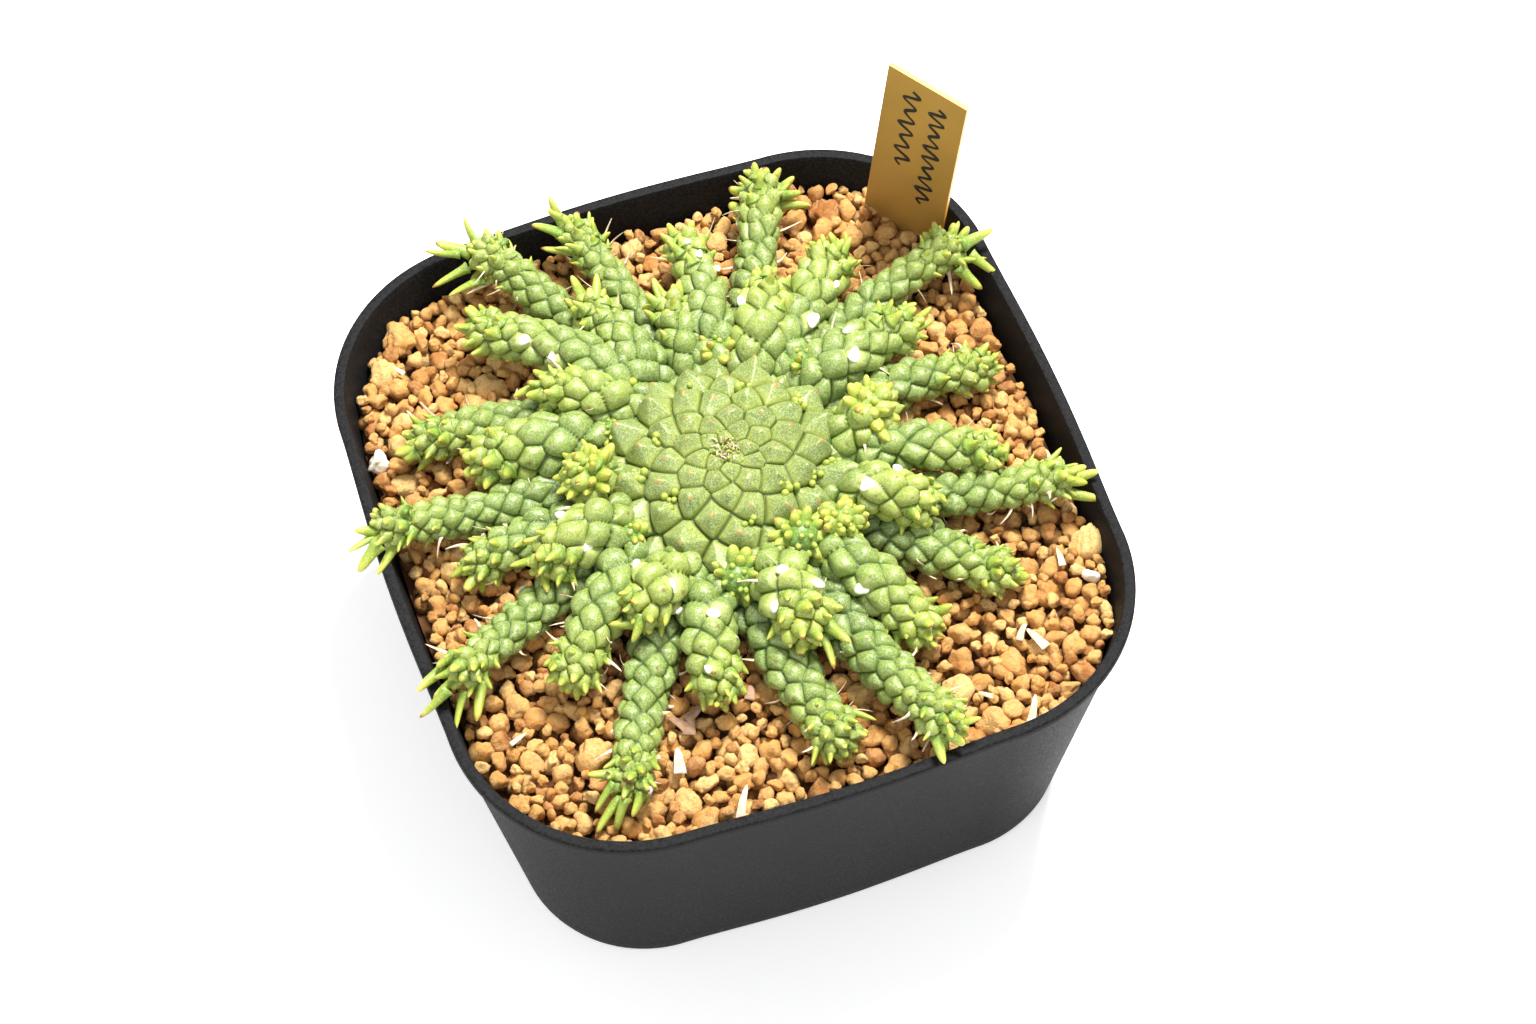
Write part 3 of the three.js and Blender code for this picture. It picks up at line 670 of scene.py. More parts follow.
def add_leaf(parts, root, normal, forward, rng, length, width, spread, sharp=0.5):
    """One leaf from a tubercle: it leans from the normal towards the tip by `spread`, 0 to 1."""
    heading = unit(normal * (1 - spread) + forward * spread + rng.normal(0, 0.1, 3))
    across = np.cross(heading, unit(normal + 1e-3 * forward))
    across = unit(across) if np.linalg.norm(across) > 0.05 else unit(np.cross(heading, UP + 0.1))
    bend = unit(np.cross(across, heading)) * rng.uniform(-0.1, 0.28) + rng.normal(0, 0.06, 3)
    points, faces, along = blade(root - heading * 0.35, heading, bend, across, length, width,
                                 rng.uniform(0.62, 0.82), sharp, 0.55)
    parts.add(points, faces, along=along, tone=rng.random(), burn=rng.random())


# ---- Balls and stones ----------------------------------------------------------------
def icosphere(subdivisions):
    bpy.ops.mesh.primitive_ico_sphere_add(subdivisions=subdivisions, radius=1.0)
    ball = bpy.context.object
    verts = np.empty(len(ball.data.vertices) * 3)
    ball.data.vertices.foreach_get("co", verts)
    faces = np.empty(len(ball.data.polygons) * 3, np.int32)
    ball.data.polygons.foreach_get("vertices", faces)
    mesh = ball.data
    bpy.data.objects.remove(ball)
    bpy.data.meshes.remove(mesh)
    return verts.reshape(-1, 3), faces.reshape(-1, 3)


BALLS = {level: icosphere(level) for level in (2, 3, 4)}


def turn_matrix(rng):
    """A random rotation."""
    q = unit(rng.normal(size=4))
    w, x, y, z = q
    return np.array([
        [1 - 2 * (y * y + z * z), 2 * (x * y - z * w), 2 * (x * z + y * w)],
        [2 * (x * y + z * w), 1 - 2 * (x * x + z * z), 2 * (y * z - x * w)],
        [2 * (x * z - y * w), 2 * (y * z + x * w), 1 - 2 * (x * x + y * y)],
    ])


def add_bead(parts, centre, axis, radius, length, rng):
    """A small rounded bead, drawn out along an axis."""
    verts, faces = BALLS[2]
    axis = unit(axis)
    side = unit(np.cross(axis, UP + 0.01))
    over = np.cross(axis, side)
    t = (verts[:, 2] + 1) / 2
    body = verts[:, :1] * side * radius + verts[:, 1:2] * over * radius + verts[:, 2:] * axis * length
    parts.add(centre + body, faces, along=0.2 + t * 0.6, tone=rng.random(), burn=rng.random() * 0.6)


def stone_shape(level, rng):
    """A blocky grain: a ball cut by soft planes, then roughened."""
    verts, faces = BALLS[level]
    planes = unit(rng.normal(size=(rng.integers(8, 12), 3)))
    offset = rng.uniform(0.7, 1.0, len(planes))
    reach = np.maximum(verts @ planes.T, 0) / offset
    size = (reach ** 26).sum(1) ** (-1 / 26)
    for wave, amount in ((2.2, 0.07), (4.5, 0.055), (9.0, 0.045), (17.0, 0.03)):
        for _ in range(3):
            direction = unit(rng.normal(size=3)) * wave
            size = size * (1 + amount * np.sin(verts @ direction + rng.uniform(0, 6)))
    shape = verts * np.clip(size, 0.55, 1.3)[:, None]
    shape = shape * rng.uniform(0.78, 1.18, 3)
    return shape / np.abs(shape).max() * 1.2, faces


# ---- Arms ----------------------------------------------------------------------------
ARM_COUNTS = {"inner": 9, "middle": 11, "outer": 14}
START = {"inner": 14.5, "middle": 16.0, "outer": 18.0}  # mm from the axis, under the head's skin
ROOT_ABOVE_GRIT = {"inner": 3.0, "middle": 2.5, "outer": 2.0}
CELL = {"inner": (4.3, 2.3), "middle": (4.2, 2.3), "outer": (3.8, 2.2)}  # tubercle at the root and tip
USUAL_RADIUS = {"inner": 4.6, "middle": 4.1, "outer": 3.5}  # of an arm with tubercles of that size
TIP_SHARE = {"inner": 0.8, "middle": 0.8, "outer": 0.84}  # radius at the tip as a share of the usual one
YOUTH = {"inner": 0.85, "middle": 0.45, "outer": 0.15}  # how far the skin is towards the young colour
DRY_SHARE = {"inner": 0.15, "middle": 0.35, "outer": 0.4}  # flank tubercles that keep a dry leaf

# Where the ends of the clearest leaves are seen, as places on the rim's plane.
LEAF_ENDS = {
    "outer_1": [(-24, 63.5), (-32, 59), (-30, 60), (-21, 56.5), (-33, 51.5), (-31, 49)],
    "outer_2": [(-9.5, 62.5), (-10.5, 60), (-14, 58), (-6, 58), (-4, 56), (-14, 53)],
    "outer_3": [(-48, 22.5), (-46, 26), (-47, 21)],
    "outer_4": [(-54, 14), (-58, 11), (-60, 7.5), (-59.5, 3.5), (-57, 2), (-50.5, 11.5)],
    "outer_5": [(-46.5, -2.5), (-45, -5.5)],
    "outer_6": [(-57, -20), (-55, -22), (-58, -24.5), (-53.5, -28.5), (-50, -28), (-53, -17)],
    "outer_7": [(-37, -42.5), (-38, -49), (-39, -52.5), (-36, -53), (-33, -51.5)],
    "outer_9": [(22, -53.5), (14, -59), (18, -57)],
    "outer_10": [(35.5, -28), (38, -33)],
    "outer_11": [(54, -17), (55.5, -18.5), (54, -23.5), (53, -20)],
    "outer_12": [(48.5, 8), (49, 5)],
    "outer_13": [(46, 34.5), (48.5, 36), (51.5, 34.5), (53.5, 33), (57, 31), (54, 26), (54.5, 22),
                 (51, 20.5)],
    "outer_14": [(19, 54), (18, 51), (22.5, 56.5), (24, 57), (26, 56), (28.5, 55), (30, 52.5),
                 (30, 49), (30.5, 46)],
    "middle_1": [(-28.5, 46), (-32, 43)],
    "middle_2": [(-11, 46), (-13.5, 42), (-7, 45)],
    "middle_3": [(-39, 15), (-38, 18.5)],
    "middle_4": [(-38, -25.5), (-37, -23), (-34.5, -29.5)],
    "middle_5": [(-17, -36), (-15, -38), (-13.5, -38)],
    "middle_6": [(25, -33.5), (20, -40), (21.5, -38)],
    "middle_7": [(44, -8.5), (42.5, -6.5)],
    "middle_8": [(41, 17.5), (42, 20), (40, 21.5)],
    "middle_9": [(28, 39), (31.5, 40), (34, 39)],
    "middle_11": [(1.5, 41), (5.5, 39)],
    "inner_1": [(-27, 26.5), (-24, 28.5), (-24, 22.5)],
    "inner_3": [(-37, -3.5), (-34, 0), (-33, -10), (-30, -9)],
    "inner_4": [(-24, -15.5), (-26, -18.5), (-23.5, -23)],
    "inner_5": [(0, -34), (4, -38), (8, -34.5)],
    "inner_6": [(30.5, -11), (27, -19), (31, -16)],
    "inner_8": [(26.5, 1.5)],
    "inner_9": [(21, 36), (22, 33)],
}
# Dried white latex on old leaf scars, seen the same way: [x, y, size].
LATEX = {
    "middle_1": [(-22, 36.5, 1.0), (-19, 31.5, 0.9)],
    "inner_3": [(-24.5, -4.3, 1.0), (-27, 3, 0.9)],
    "inner_4": [(-18.5, -9.6, 0.85), (-14.5, -15.5, 1.1), (-15, -20, 0.7)],
    "outer_7": [(-29, -49.3, 0.7)],
    "middle_5": [(-10, -22.3, 1.15), (-14, -31.5, 0.7)],
    "inner_5": [(2.5, -18.7, 1.0), (7, -23, 1.0), (-1, -24.3, 0.95)],
    "middle_6": [(13, -26, 1.15), (11.5, -30.3, 0.75)],
    "inner_6": [(20.5, -8.5, 1.2), (26, -7, 1.0)],
    "middle_8": [(27, 15.3, 1.25), (27.5, 20.3, 0.8)],
    "middle_9": [(23, 24, 1.25), (29, 29.5, 0.7)],
    "inner_9": [(13.5, 31.5, 1.0)],
    "middle_10": [(9, 46, 0.6), (10, 42.8, 0.7), (13, 39.5, 0.7)],
}
# Healed brown scars on the skin, seen the same way: [x, y, size].
SCARS = {"outer_7": [(-32, -46, 1.1)], "middle_9": [(34, 31, 0.6)]}
# Arms that end in a rosette, and its size.
ROSETTES = {"inner_2": 1.25, "inner_7": 1.2, "inner_8": 1.35}


def aimed_leaves(parts, limb, seeds, places, rng):
    """Leaves that end where they are seen to, each grown from the tubercle that suits it."""
    points, normals, _ = limb.at(seeds[:, 0], seeds[:, 1])
    near = limb.length - seeds[:, 0] < 8
    centre = limb.centre[-1]
    used = set()
    for x, y in places:
        ray = sight(x, y)
        end = EYE + ray * ((centre - EYE) @ ray) - ray * rng.uniform(-0.5, 1.5)
        end[2] = max(end[2], GRIT_Z + 0.4)
        away = end - points
        gap = np.linalg.norm(away, axis=1)
        facing = (away * normals).sum(1) / np.maximum(gap, 0.1)
        cost = gap - 2.0 * facing + np.where(near, 0, 50)
        for taken in used:
            cost[taken] += 3
        k = int(np.argmin(cost))
        used.add(k)
        heading = unit(end - points[k])
        across = unit(np.cross(heading, unit(normals[k] + rng.normal(0, 0.3, 3))))
        bend = rng.normal(0, 0.1, 3)
        length = min(gap[k], 5.6) + 0.5
        root = end - heading * length - bend * length
        shape, faces, along = blade(root, heading, bend, across, length, width=rng.uniform(1.6, 2.1),
                                    flat=rng.uniform(0.65, 0.85), sharp=rng.uniform(0.0, 0.45), flare=0.5)
        parts.add(shape, faces, along=along, tone=rng.random(), burn=rng.random())


# Distances from the tip, in mm, to which each kind of tip leaf grows.
BEADS_TO, SHORT_LEAVES_TO, LONG_LEAVES_TO, SPARSE_LEAVES_TO = 1.5, 4.2, 7.5, 11


def tip_leaves(parts, limb, seeds, tier, rng, aimed):
    """Leaves and beads on the tubercles round the tip, youngest at the very end."""
    points, normals, tangents = limb.at(seeds[:, 0], seeds[:, 1])
    from_tip = limb.length - seeds[:, 0]
    for k in range(len(seeds)):
        u = from_tip[k]
        below = points[k, 2] < GRIT_Z + 0.6
        cell = seeds[k, 2]
        if u < BEADS_TO:
            add_bead(parts, points[k] + normals[k] * 0.2, normals[k] + tangents[k] * 0.4,
                     rng.uniform(0.5, 0.7), rng.uniform(0.8, 1.3), rng)
        elif u < SHORT_LEAVES_TO:
            add_leaf(parts, points[k], normals[k], tangents[k], rng, rng.uniform(1.6, 2.8),
                     cell * rng.uniform(0.55, 0.75), 0.45, rng.uniform(0.2, 0.6))
        elif u < LONG_LEAVES_TO and not below:
            long = tier == "outer" and not aimed and rng.random() < 0.6
            length = rng.uniform(3.2, 5.2) if long else rng.uniform(1.5, 3.2)
            add_leaf(parts, points[k], normals[k], tangents[k], rng, length,
                     cell * rng.uniform(0.55, 0.7), 0.5, rng.uniform(0.4, 0.9))
        elif u < SPARSE_LEAVES_TO and not below and rng.random() < 0.4:
            add_leaf(parts, points[k], normals[k], tangents[k], rng, rng.uniform(1.4, 2.4),
                     cell * 0.5, 0.55, 0.95)


ROSETTE_RADIUS = 2.5  # of the ball under the beads, at size 1


def rosette(parts, root, normal, size, rng, count=28):
    """A tight round cluster: small yellow beads in the middle and plump leaflets round them."""
    inner_count = 8
    side = unit(np.cross(UP + [0.01, 0, 0], normal))
    over = np.cross(normal, side)
    for k in range(count):
        tilt = min(0.1 + 0.3 * k ** 0.54, 1.9)
        angle = k * GOLDEN + rng.normal(0, 0.16)
        outwards = side * math.cos(angle) + over * math.sin(angle)
        direction = normal * math.cos(tilt) + outwards * math.sin(tilt)
        place = root + direction * ROSETTE_RADIUS * size
        grown = min(k / 24, 1)
        if k < inner_count:
            radius = (0.4 + 0.3 * grown) * size
            add_bead(parts, place, direction, radius, radius * rng.uniform(1.2, 1.8), rng)
        else:
            width = (1.25 + 0.9 * grown) * size * rng.uniform(0.8, 1.15)
            length = (1.0 + 1.9 * grown * rng.uniform(0.0, 1.0) ** 2) * size
            heading = unit(direction + normal * 0.15)
            across = unit(np.cross(heading, unit(normal + rng.normal(0, 0.2, 3))))
            bend = normal * rng.uniform(0.0, 0.25)
            sunk = 0.9 * size
            shape, faces, along = blade(place - heading * sunk, heading, bend, across, length + sunk, width,
                                        flat=0.86, sharp=rng.uniform(0.0, 0.5), flare=0.1)
            parts.add(shape, faces, along=along, tone=rng.random() * (1.2 - grown), burn=rng.random() * 0.8)
    core = BALLS[3][0] * (ROSETTE_RADIUS * size) + root
    parts.add(core, BALLS[3][1], along=0.05, tone=0.1, burn=0.0)


def dry_spines(parts, limb, seeds, rng, share):
    """Papery remains of old leaves along the flanks."""
    points, normals, tangents = limb.at(seeds[:, 0], seeds[:, 1])
    for k in range(len(seeds)):
        up = math.cos(seeds[k, 1])
        inside = 0.2 * limb.length < seeds[k, 0] < limb.length - 3
        if not inside or not -0.8 < up < 0.6 or rng.random() > share:
            continue
        heading = unit(normals[k] + tangents[k] * rng.uniform(-0.2, 0.9) + rng.normal(0, 0.3, 3))
        heading[2] = max(heading[2], -0.2)
        across = unit(np.cross(heading, rng.normal(size=3)))
        bend = rng.normal(0, 0.35, 3)
        shape, faces, along = blade(points[k] + normals[k] * 0.4, heading, bend, across,
                                    rng.uniform(1.4, 3.0), rng.uniform(0.45, 0.85), 0.3, 0.5, 0.3, 8, 6)
        shape[:, 2] = np.maximum(shape[:, 2], GRIT_Z - 0.5)
        parts.add(shape, faces, along=along)


LATEX_SPOTS = Parts()


def seen_point(points, normals, ray):
    """Which point of a skin is seen along a ray: close to it, near the eye, and facing the eye."""
    away = points - EYE
    depth = away @ ray
    off = np.linalg.norm(away - depth[:, None] * ray, axis=1)
    return int(np.argmin(off + 0.06 * (depth - depth.min()) + np.where(normals @ ray > 0, 5, 0)))


def spot(points, k, size):
    """How near each point is to point k, from 0 to 1, with a firm edge at about `size`."""
    return np.exp(-(np.linalg.norm(points - points[k], axis=1) / size) ** 4)


def latex_spots(points, normals, places, rng):
    """Puts a dried drop where each sight line meets the skin. Returns how near each point is to one."""
    pale = np.zeros(len(points))
    for x, y, size in places:
        ray = sight(x, y)
        k = seen_point(points, normals, ray)
        close = np.linalg.norm(points - points[k], axis=1) < size
        normal = unit(normals[close].mean(0) - 0.5 * ray)
        side = unit(np.cross(normal, rng.normal(size=3)))
        over = np.cross(normal, side)
        verts, faces = BALLS[3]
        wavy = 1 + 0.1 * np.sin(3 * np.arctan2(verts[:, 1], verts[:, 0]) + rng.uniform(0, 6))
        round_shape = verts[:, :1] * side * 1.05 + verts[:, 1:2] * over * 0.78
        body = round_shape * size * wavy[:, None] + verts[:, 2:] * normal * 0.4
        LATEX_SPOTS.add(points[k] + normal * 0.1 + body, faces)
        pale = np.maximum(pale, spot(points, k, 1.45 * size))
    return pale


def healed_scars(points, normals, places):
    """How near each point is to a scar, from 0 to 1."""
    near = np.zeros(len(points))
    for x, y, size in places:
        near = np.maximum(near, spot(points, seen_point(points, normals, sight(x, y)), size))
    return near


def build_arm(tier, number):
    """One arm's skin, the leaves at its tip and the dry leaves on its flanks."""
    name = f"arm_{tier}_{number}"
    key = f"{tier}_{number}"
    rng = rng_for(1000 * (1 + list(ARM_COUNTS).index(tier)) + number)
    line, radius = centre_line(name, GRIT_Z + ROOT_ABOVE_GRIT[tier], START[tier])
    limb = Limb(line, radius * 1.08, radius * TIP_SHARE[tier])
    cell_root, cell_tip = CELL[tier]
    share = radius / USUAL_RADIUS[tier]
    seeds = spiral_seeds(limb, cell_root * share ** 0.6, cell_tip, rng)
    points, faces, values, normals = tubercled(limb, seeds, rng)
    values["pale"] = latex_spots(points, normals, LATEX.get(key, []), rng)
    values["scar"] = np.maximum(values["scar"], healed_scars(points, normals, SCARS.get(key, [])))
    values["fresh"] = np.full(len(points), YOUTH[tier])
    arm = add_mesh(name + "_skin", points, faces, MATERIALS["arm"], values)
    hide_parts(name)
    leaves = Parts()
    if key in ROSETTES:
        outward = unit(limb.tangent[-1] * [1, 1, 0])
        size = ROSETTES[key]
        rosette(leaves, limb.centre[-1] - limb.tangent[-1] * 2.6 * size, unit(UP * 0.8 + outward * 0.75),
                size, rng, 32)
    tip_leaves(leaves, limb, seeds, tier, rng, key in LEAF_ENDS)
    aimed_leaves(leaves, limb, seeds, LEAF_ENDS.get(key, []), rng)
    tuft = leaves.build(f"leaves_{tier}_{number}", MATERIALS["leaf"])
    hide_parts(f"tuft_outer_{number}" if tier == "outer" else name)
    spines = Parts()
    dry_spines(spines, limb, seeds, rng, DRY_SHARE[tier])
    if spines.count:
        spines.build(f"spines_{tier}_{number}", MATERIALS["husk"])


for tier, count in ARM_COUNTS.items():
    for number in range(1, count + 1):
        build_arm(tier, number)
LATEX_SPOTS.build("latex_spots", MATERIALS["latex"])


# ---- Head ----------------------------------------------------------------------------
HEAD_TOP = HEAD_HIGH[2]
HEAD_MIDDLE = GRIT_Z + 3
HEAD_SQUARENESS = 0.8
HEAD_SHARE = 0.985  # skin radius as a share of the head's
HEAD_GROOVE = 0.085  # in widths of a tubercle
HEAD_SHOULDER = 0.2
HEAD_SUNK = 0.4  # mm that the groove level lies inside the head
HEAD_JITTER = 0.08  # of a tubercle's place, in its widths
HEAD_PACKING = 0.9  # area of a tubercle as a share of its width squared
CELL_AT_TOP, CELL_AT_EDGE, EDGE_REACH = 1.2, 6.5, 19
CROWN_BEADS, DRY_TIPS = 20, 26  # at the growing point
DRY_RING = (14.5, 21)  # mm from the top, where the head's tubercles keep a dry tip


def head_profile():
    """Radius, height and slope of the head from its top down, by distance along its skin."""
    a = np.linspace(math.pi / 2, 0, 90)
    radius = HEAD_RADIUS * HEAD_SHARE * np.cos(a) ** HEAD_SQUARENESS
    height = HEAD_MIDDLE + (HEAD_TOP - 0.5 - HEAD_MIDDLE) * np.sin(a)
    radius = np.r_[radius, HEAD_RADIUS * HEAD_SHARE, HEAD_RADIUS * 0.95]
    height = np.r_[height, GRIT_Z, GRIT_Z - 3]
    radius[0] = 0
    arc = np.r_[0, np.cumsum(np.hypot(np.diff(radius), np.diff(height)))]
    return arc, radius, height


ARC, HEAD_R, HEAD_H = head_profile()


def on_head(s, turn):
    """Point and outward normal on the head at a distance from its top and a turn."""
    radius, height = np.interp(s, ARC, HEAD_R), np.interp(s, ARC, HEAD_H)
    d = 0.6
    dr = np.interp(s + d, ARC, HEAD_R) - np.interp(np.maximum(s - d, 0), ARC, HEAD_R)
    dz = np.interp(s + d, ARC, HEAD_H) - np.interp(np.maximum(s - d, 0), ARC, HEAD_H)
    size = np.maximum(np.hypot(dr, dz), 1e-9)
    c, n = np.cos(turn), np.sin(turn)
    point = np.stack([radius * c, radius * n, height], -1)
    normal = np.stack([-dz / size * c, -dz / size * n, dr / size], -1)
    return point, normal


def build_head():
    """The head's skin: a spiral of low pyramids that grow outwards. Returns their places."""
    rng = rng_for(7)
    seeds, s, turn = [], 0.7, 0.4
    while s < ARC[-1] - 1:
        cell = CELL_AT_TOP + (CELL_AT_EDGE - CELL_AT_TOP) * (min(s, EDGE_REACH) / EDGE_REACH) ** 0.62
        seeds.append([s + rng.normal(0, HEAD_JITTER) * cell, turn + rng.normal(0, HEAD_JITTER) * cell / s,
                      cell * rng.uniform(0.92, 1.08)])
        radius = max(np.interp(s, ARC, HEAD_R), 0.5)
        s += cell * cell * HEAD_PACKING / (2 * math.pi * radius)
        turn += GOLDEN
    seeds = np.array(seeds)
    where, _ = on_head(seeds[:, 0], seeds[:, 1])
    s, turn, faces = skin_grid(0.02, ARC[-1], HEAD_RADIUS)
    points, normals = on_head(s, turn)
    cells = seeds[:, 2]
    first, second, owner, other = two_nearest(points, where, cells)
    edge = second - first
    cell = cells[owner]
    crease = np.exp(-(edge / HEAD_GROOVE) ** 2)
    pillow = 1 - np.exp(-edge / HEAD_SHOULDER)
    roof = np.clip(edge, 0, 1.1) ** 1.15
    outward = unit(where * [1, 1, 0] + 1e-9)
    lean = ((points - where[owner]) * outward[owner]).sum(1) / cell
    swell = rng.uniform(0.8, 1.25, len(seeds))[owner] * (0.75 + 0.35 * np.clip(s / 18, 0, 1))
    height = cell * (swell * (0.12 * pillow + 0.42 * roof ** 1.3) + 0.13 * lean * pillow - 0.07 * crease)
    scar_size = scar_sizes(len(seeds), 0.8, 0.07, 0.12, rng)
    scar = np.exp(-(first / scar_size[owner]) ** 2)
    height = height - scar * 0.12
    dark = rng.uniform(0, 1, len(seeds))
    low = past_seed(points, where, outward, cells, owner, 0.16)
    values = {
        "groove": crease,
        # The rise also sets the painted light towards each apex.
        "rise": 0.3 * pillow + 0.75 * roof,
        "tone": rng.random(len(seeds))[owner],
        # Painted shade for the flats of the tubercles.
        "facet": painted_facet_shade(owner, other, rng),
        "along": 0.35 + 0.5 * (1 - s / ARC[-1]),
        "shade": dark[owner] * np.exp(-(low / 0.2) ** 2),
        "scar": scar,
    }
    head = add_mesh("caudex_skin", points + normals * (height - HEAD_SUNK)[:, None],
                    faces[:, ::-1], MATERIALS["head"], values)
    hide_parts("caudex")
    return seeds


HEAD_SEEDS = build_head()


# Bead clusters in the head's creases: [turn in degrees, mm from the axis].
CREASE_BEADS = [(122, 15.8), (176, 14.3), (205, 12.0), (229, 15.7), (268, 12.8), (306, 11.5),
                (324, 14.0), (338, 16.9), (23, 15.4), (60, 12.8), (92, 15.0), (150, 11.0)]


def build_crown():
    """Tiny leaves and pale down at the growing point, and bead clusters in the creases."""
    rng = rng_for(8)
    parts = Parts()
    for k in range(CROWN_BEADS):
        s = 0.25 + 0.36 * k ** 0.55
        point, normal = on_head(np.array([s]), np.array([k * GOLDEN]))
        add_bead(parts, point[0] + normal[0] * 0.1, normal[0] + rng.normal(0, 0.2, 3),
                 rng.uniform(0.2, 0.34), rng.uniform(0.35, 0.6), rng)
    for turn, out in CREASE_BEADS:
        s0, t0 = out * 1.03, math.radians(turn)
        for k in range(rng.integers(3, 6)):
            away = 0.75 * math.sqrt(k)
            s = np.array([s0 + away * math.cos(k * GOLDEN)])
            t = np.array([t0 + away * math.sin(k * GOLDEN) / out])
            point, normal = on_head(s, t)
            size = rng.uniform(0.45, 0.75)
            axis = normal[0] + rng.normal(0, 0.3, 3)
            add_bead(parts, point[0] + normal[0] * 0.35, axis, size, size * 1.35, rng)
    crown = parts.build("crown_beads", MATERIALS["bud"])
    dry = Parts()
    for k in range(DRY_TIPS):
        place, normal = on_head(np.array([0.2 + 0.36 * k ** 0.5]), np.array([k * GOLDEN + 1]))
        heading = unit(normal[0] + rng.normal(0, 0.5, 3))
        shape, faces, along = blade(place[0], heading, rng.normal(0, 0.3, 3), unit(rng.normal(size=3)),
                                    rng.uniform(0.8, 1.6), rng.uniform(0.35, 0.65),
                                    flat=0.4, sharp=0.5, flare=0.2, rings=6, sides=5)
        dry.add(shape, faces, along=along)
    for s, turn, cell in HEAD_SEEDS:
        if DRY_RING[0] < s < DRY_RING[1] and rng.random() < 0.55:
            place, normal = on_head(np.array([s + 0.3 * cell]), np.array([turn]))
            outward = unit(place[0] * [1, 1, 0])
            foot, heading = place[0] + normal[0] * 0.6, unit(normal[0] * 0.7 + outward)
            shape, faces, along = blade(foot, heading, UP * 0.1, unit(np.cross(UP, outward)),
                                        rng.uniform(0.9, 1.6), rng.uniform(0.6, 0.9),
                                        flat=0.6, sharp=0.9, flare=0.5, rings=7, sides=6)
            dry.add(shape, faces, along=along)
    dry.build("crown_dry_tips", MATERIALS["husk"])


build_crown()


# ---- Buds ----------------------------------------------------------------------------
BUD_SIZES = (1.0, 0.85, 1.0, 1.1, 0.95, 1.0, 0.7)


def build_bud(number, size):
    """A tight rosette: small beads in the middle and stubby pointed leaves round them."""
    name = f"bud_{number}"
    rng = rng_for(500 + number)
    low, high = box_mm(name)
    centre = (low + high) / 2
    turn = math.atan2(centre[1], centre[0])
    out = math.hypot(centre[0], centre[1])
    outward = np.array([math.cos(turn), math.sin(turn), 0])
    normal = unit(UP * 0.75 + outward * 0.65)
    parts = Parts()
    rosette(parts, outward * (out - 0.8) + UP * (centre[2] - 0.4), normal, size * 1.08, rng)
    bud = parts.build(name + "_rosette", MATERIALS["bud"])
    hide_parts(name)


for number, size in enumerate(BUD_SIZES, 1):
    build_bud(number, size)


# ---- Pot -----------------------------------------------------------------------------
# The same sizes as the CAD pot, in mm.
BASE_TO_RIM = 0.835
RIM_CORNER = 28.9
BASE_CORNER = 20.7
SIDE_BOW = 1.0
WALL = 1.2
LIP_PROUD = 0.6
LIP_DEPTH = 1.6
FOOT_WIDTH = 3.0
FLOOR_TOP = 3.8
FOOT_HEIGHT = 2.0
FOOT_CHAMFER = 0.25
BASE_ROUND = 0.9
LIP_ROUND = 0.38
CENTRE_PAD = 12.0
DRAIN_HOLES, DRAIN_RADIUS, DRAIN_RING = 8, 3.0, 28.0
RIM_HALF = (POT_HIGH[:2] - POT_LOW[:2]) / 2 - SIDE_BOW
CORNER_STEPS, SIDE_STEPS = 40, 36
CLOSED = 0.001  # share of a ring's size at which it counts as closed


def outline(half, corner):
    """Points round a rounded rectangle whose straight sides bow out a little."""
    points = []
    for quarter in range(4):
        sign = np.array([[1, 1], [-1, 1], [-1, -1], [1, -1]][quarter])
        turn = (quarter + np.arange(CORNER_STEPS + 1) / CORNER_STEPS) * math.pi / 2
        points.append(sign * (half - corner) + corner * np.stack([np.cos(turn), np.sin(turn)], -1))
        along = half[quarter % 2] - corner
        reach = half[1 - quarter % 2]
        out = np.array([[0, 1], [-1, 0], [0, -1], [1, 0]][quarter])
        forward = np.array([-out[1], out[0]])
        t = 2 * np.arange(1, SIDE_STEPS)[:, None] / SIDE_STEPS - 1
        points.append(forward * along * t + out * (reach + SIDE_BOW * (1 - t * t) ** 1.5))
    return np.concatenate(points)


def wall_outline(height, inset):
    up = height / RIM_Z
    share = BASE_TO_RIM + (1 - BASE_TO_RIM) * up
    corner = BASE_CORNER + (RIM_CORNER - LIP_PROUD - BASE_CORNER) * up
    return outline(RIM_HALF * share - (inset + LIP_PROUD * up), corner - inset)


def lip_outline(inset):
    return outline(RIM_HALF - inset, RIM_CORNER - inset)


def column(x, y, radius, low, high, sides=64):
    """A closed upright cylinder: points and triangles."""
    turn = np.arange(sides) * 2 * math.pi / sides
    circle = np.stack([np.cos(turn), np.sin(turn)], -1)
    steps = [(CLOSED, low), (1, low), (1, high), (CLOSED, high)]
    rings = [np.c_[circle * radius * share + [x, y], np.full(sides, z)] for share, z in steps]
    return np.concatenate(rings), grid_faces(len(steps) + 1, sides) % (len(steps) * sides)


def cut_drains(pot):
    """Round drain holes through the raised floor, on one ring."""
    cutters = Parts()
    for hole in range(DRAIN_HOLES):
        turn = (hole + 0.5) / DRAIN_HOLES * 2 * math.pi
        cutters.add(*column(DRAIN_RING * math.cos(turn), DRAIN_RING * math.sin(turn), DRAIN_RADIUS,
                            FOOT_HEIGHT - 1, FLOOR_TOP + 1))
    cutter = cutters.build("drain_cutter", MATERIALS["pot"])
    cut = pot.modifiers.new("drains", "BOOLEAN")
    cut.operation = "DIFFERENCE"
    cut.solver = "EXACT"
    cut.object = cutter
    bpy.context.view_layer.update()
    graph = bpy.context.evaluated_depsgraph_get()
    mesh = bpy.data.meshes.new_from_object(pot.evaluated_get(graph))
    pot.modifiers.clear()
    pot.data = mesh
    mesh.set_sharp_from_angle(angle=math.radians(35))
    bpy.data.objects.remove(cutter)


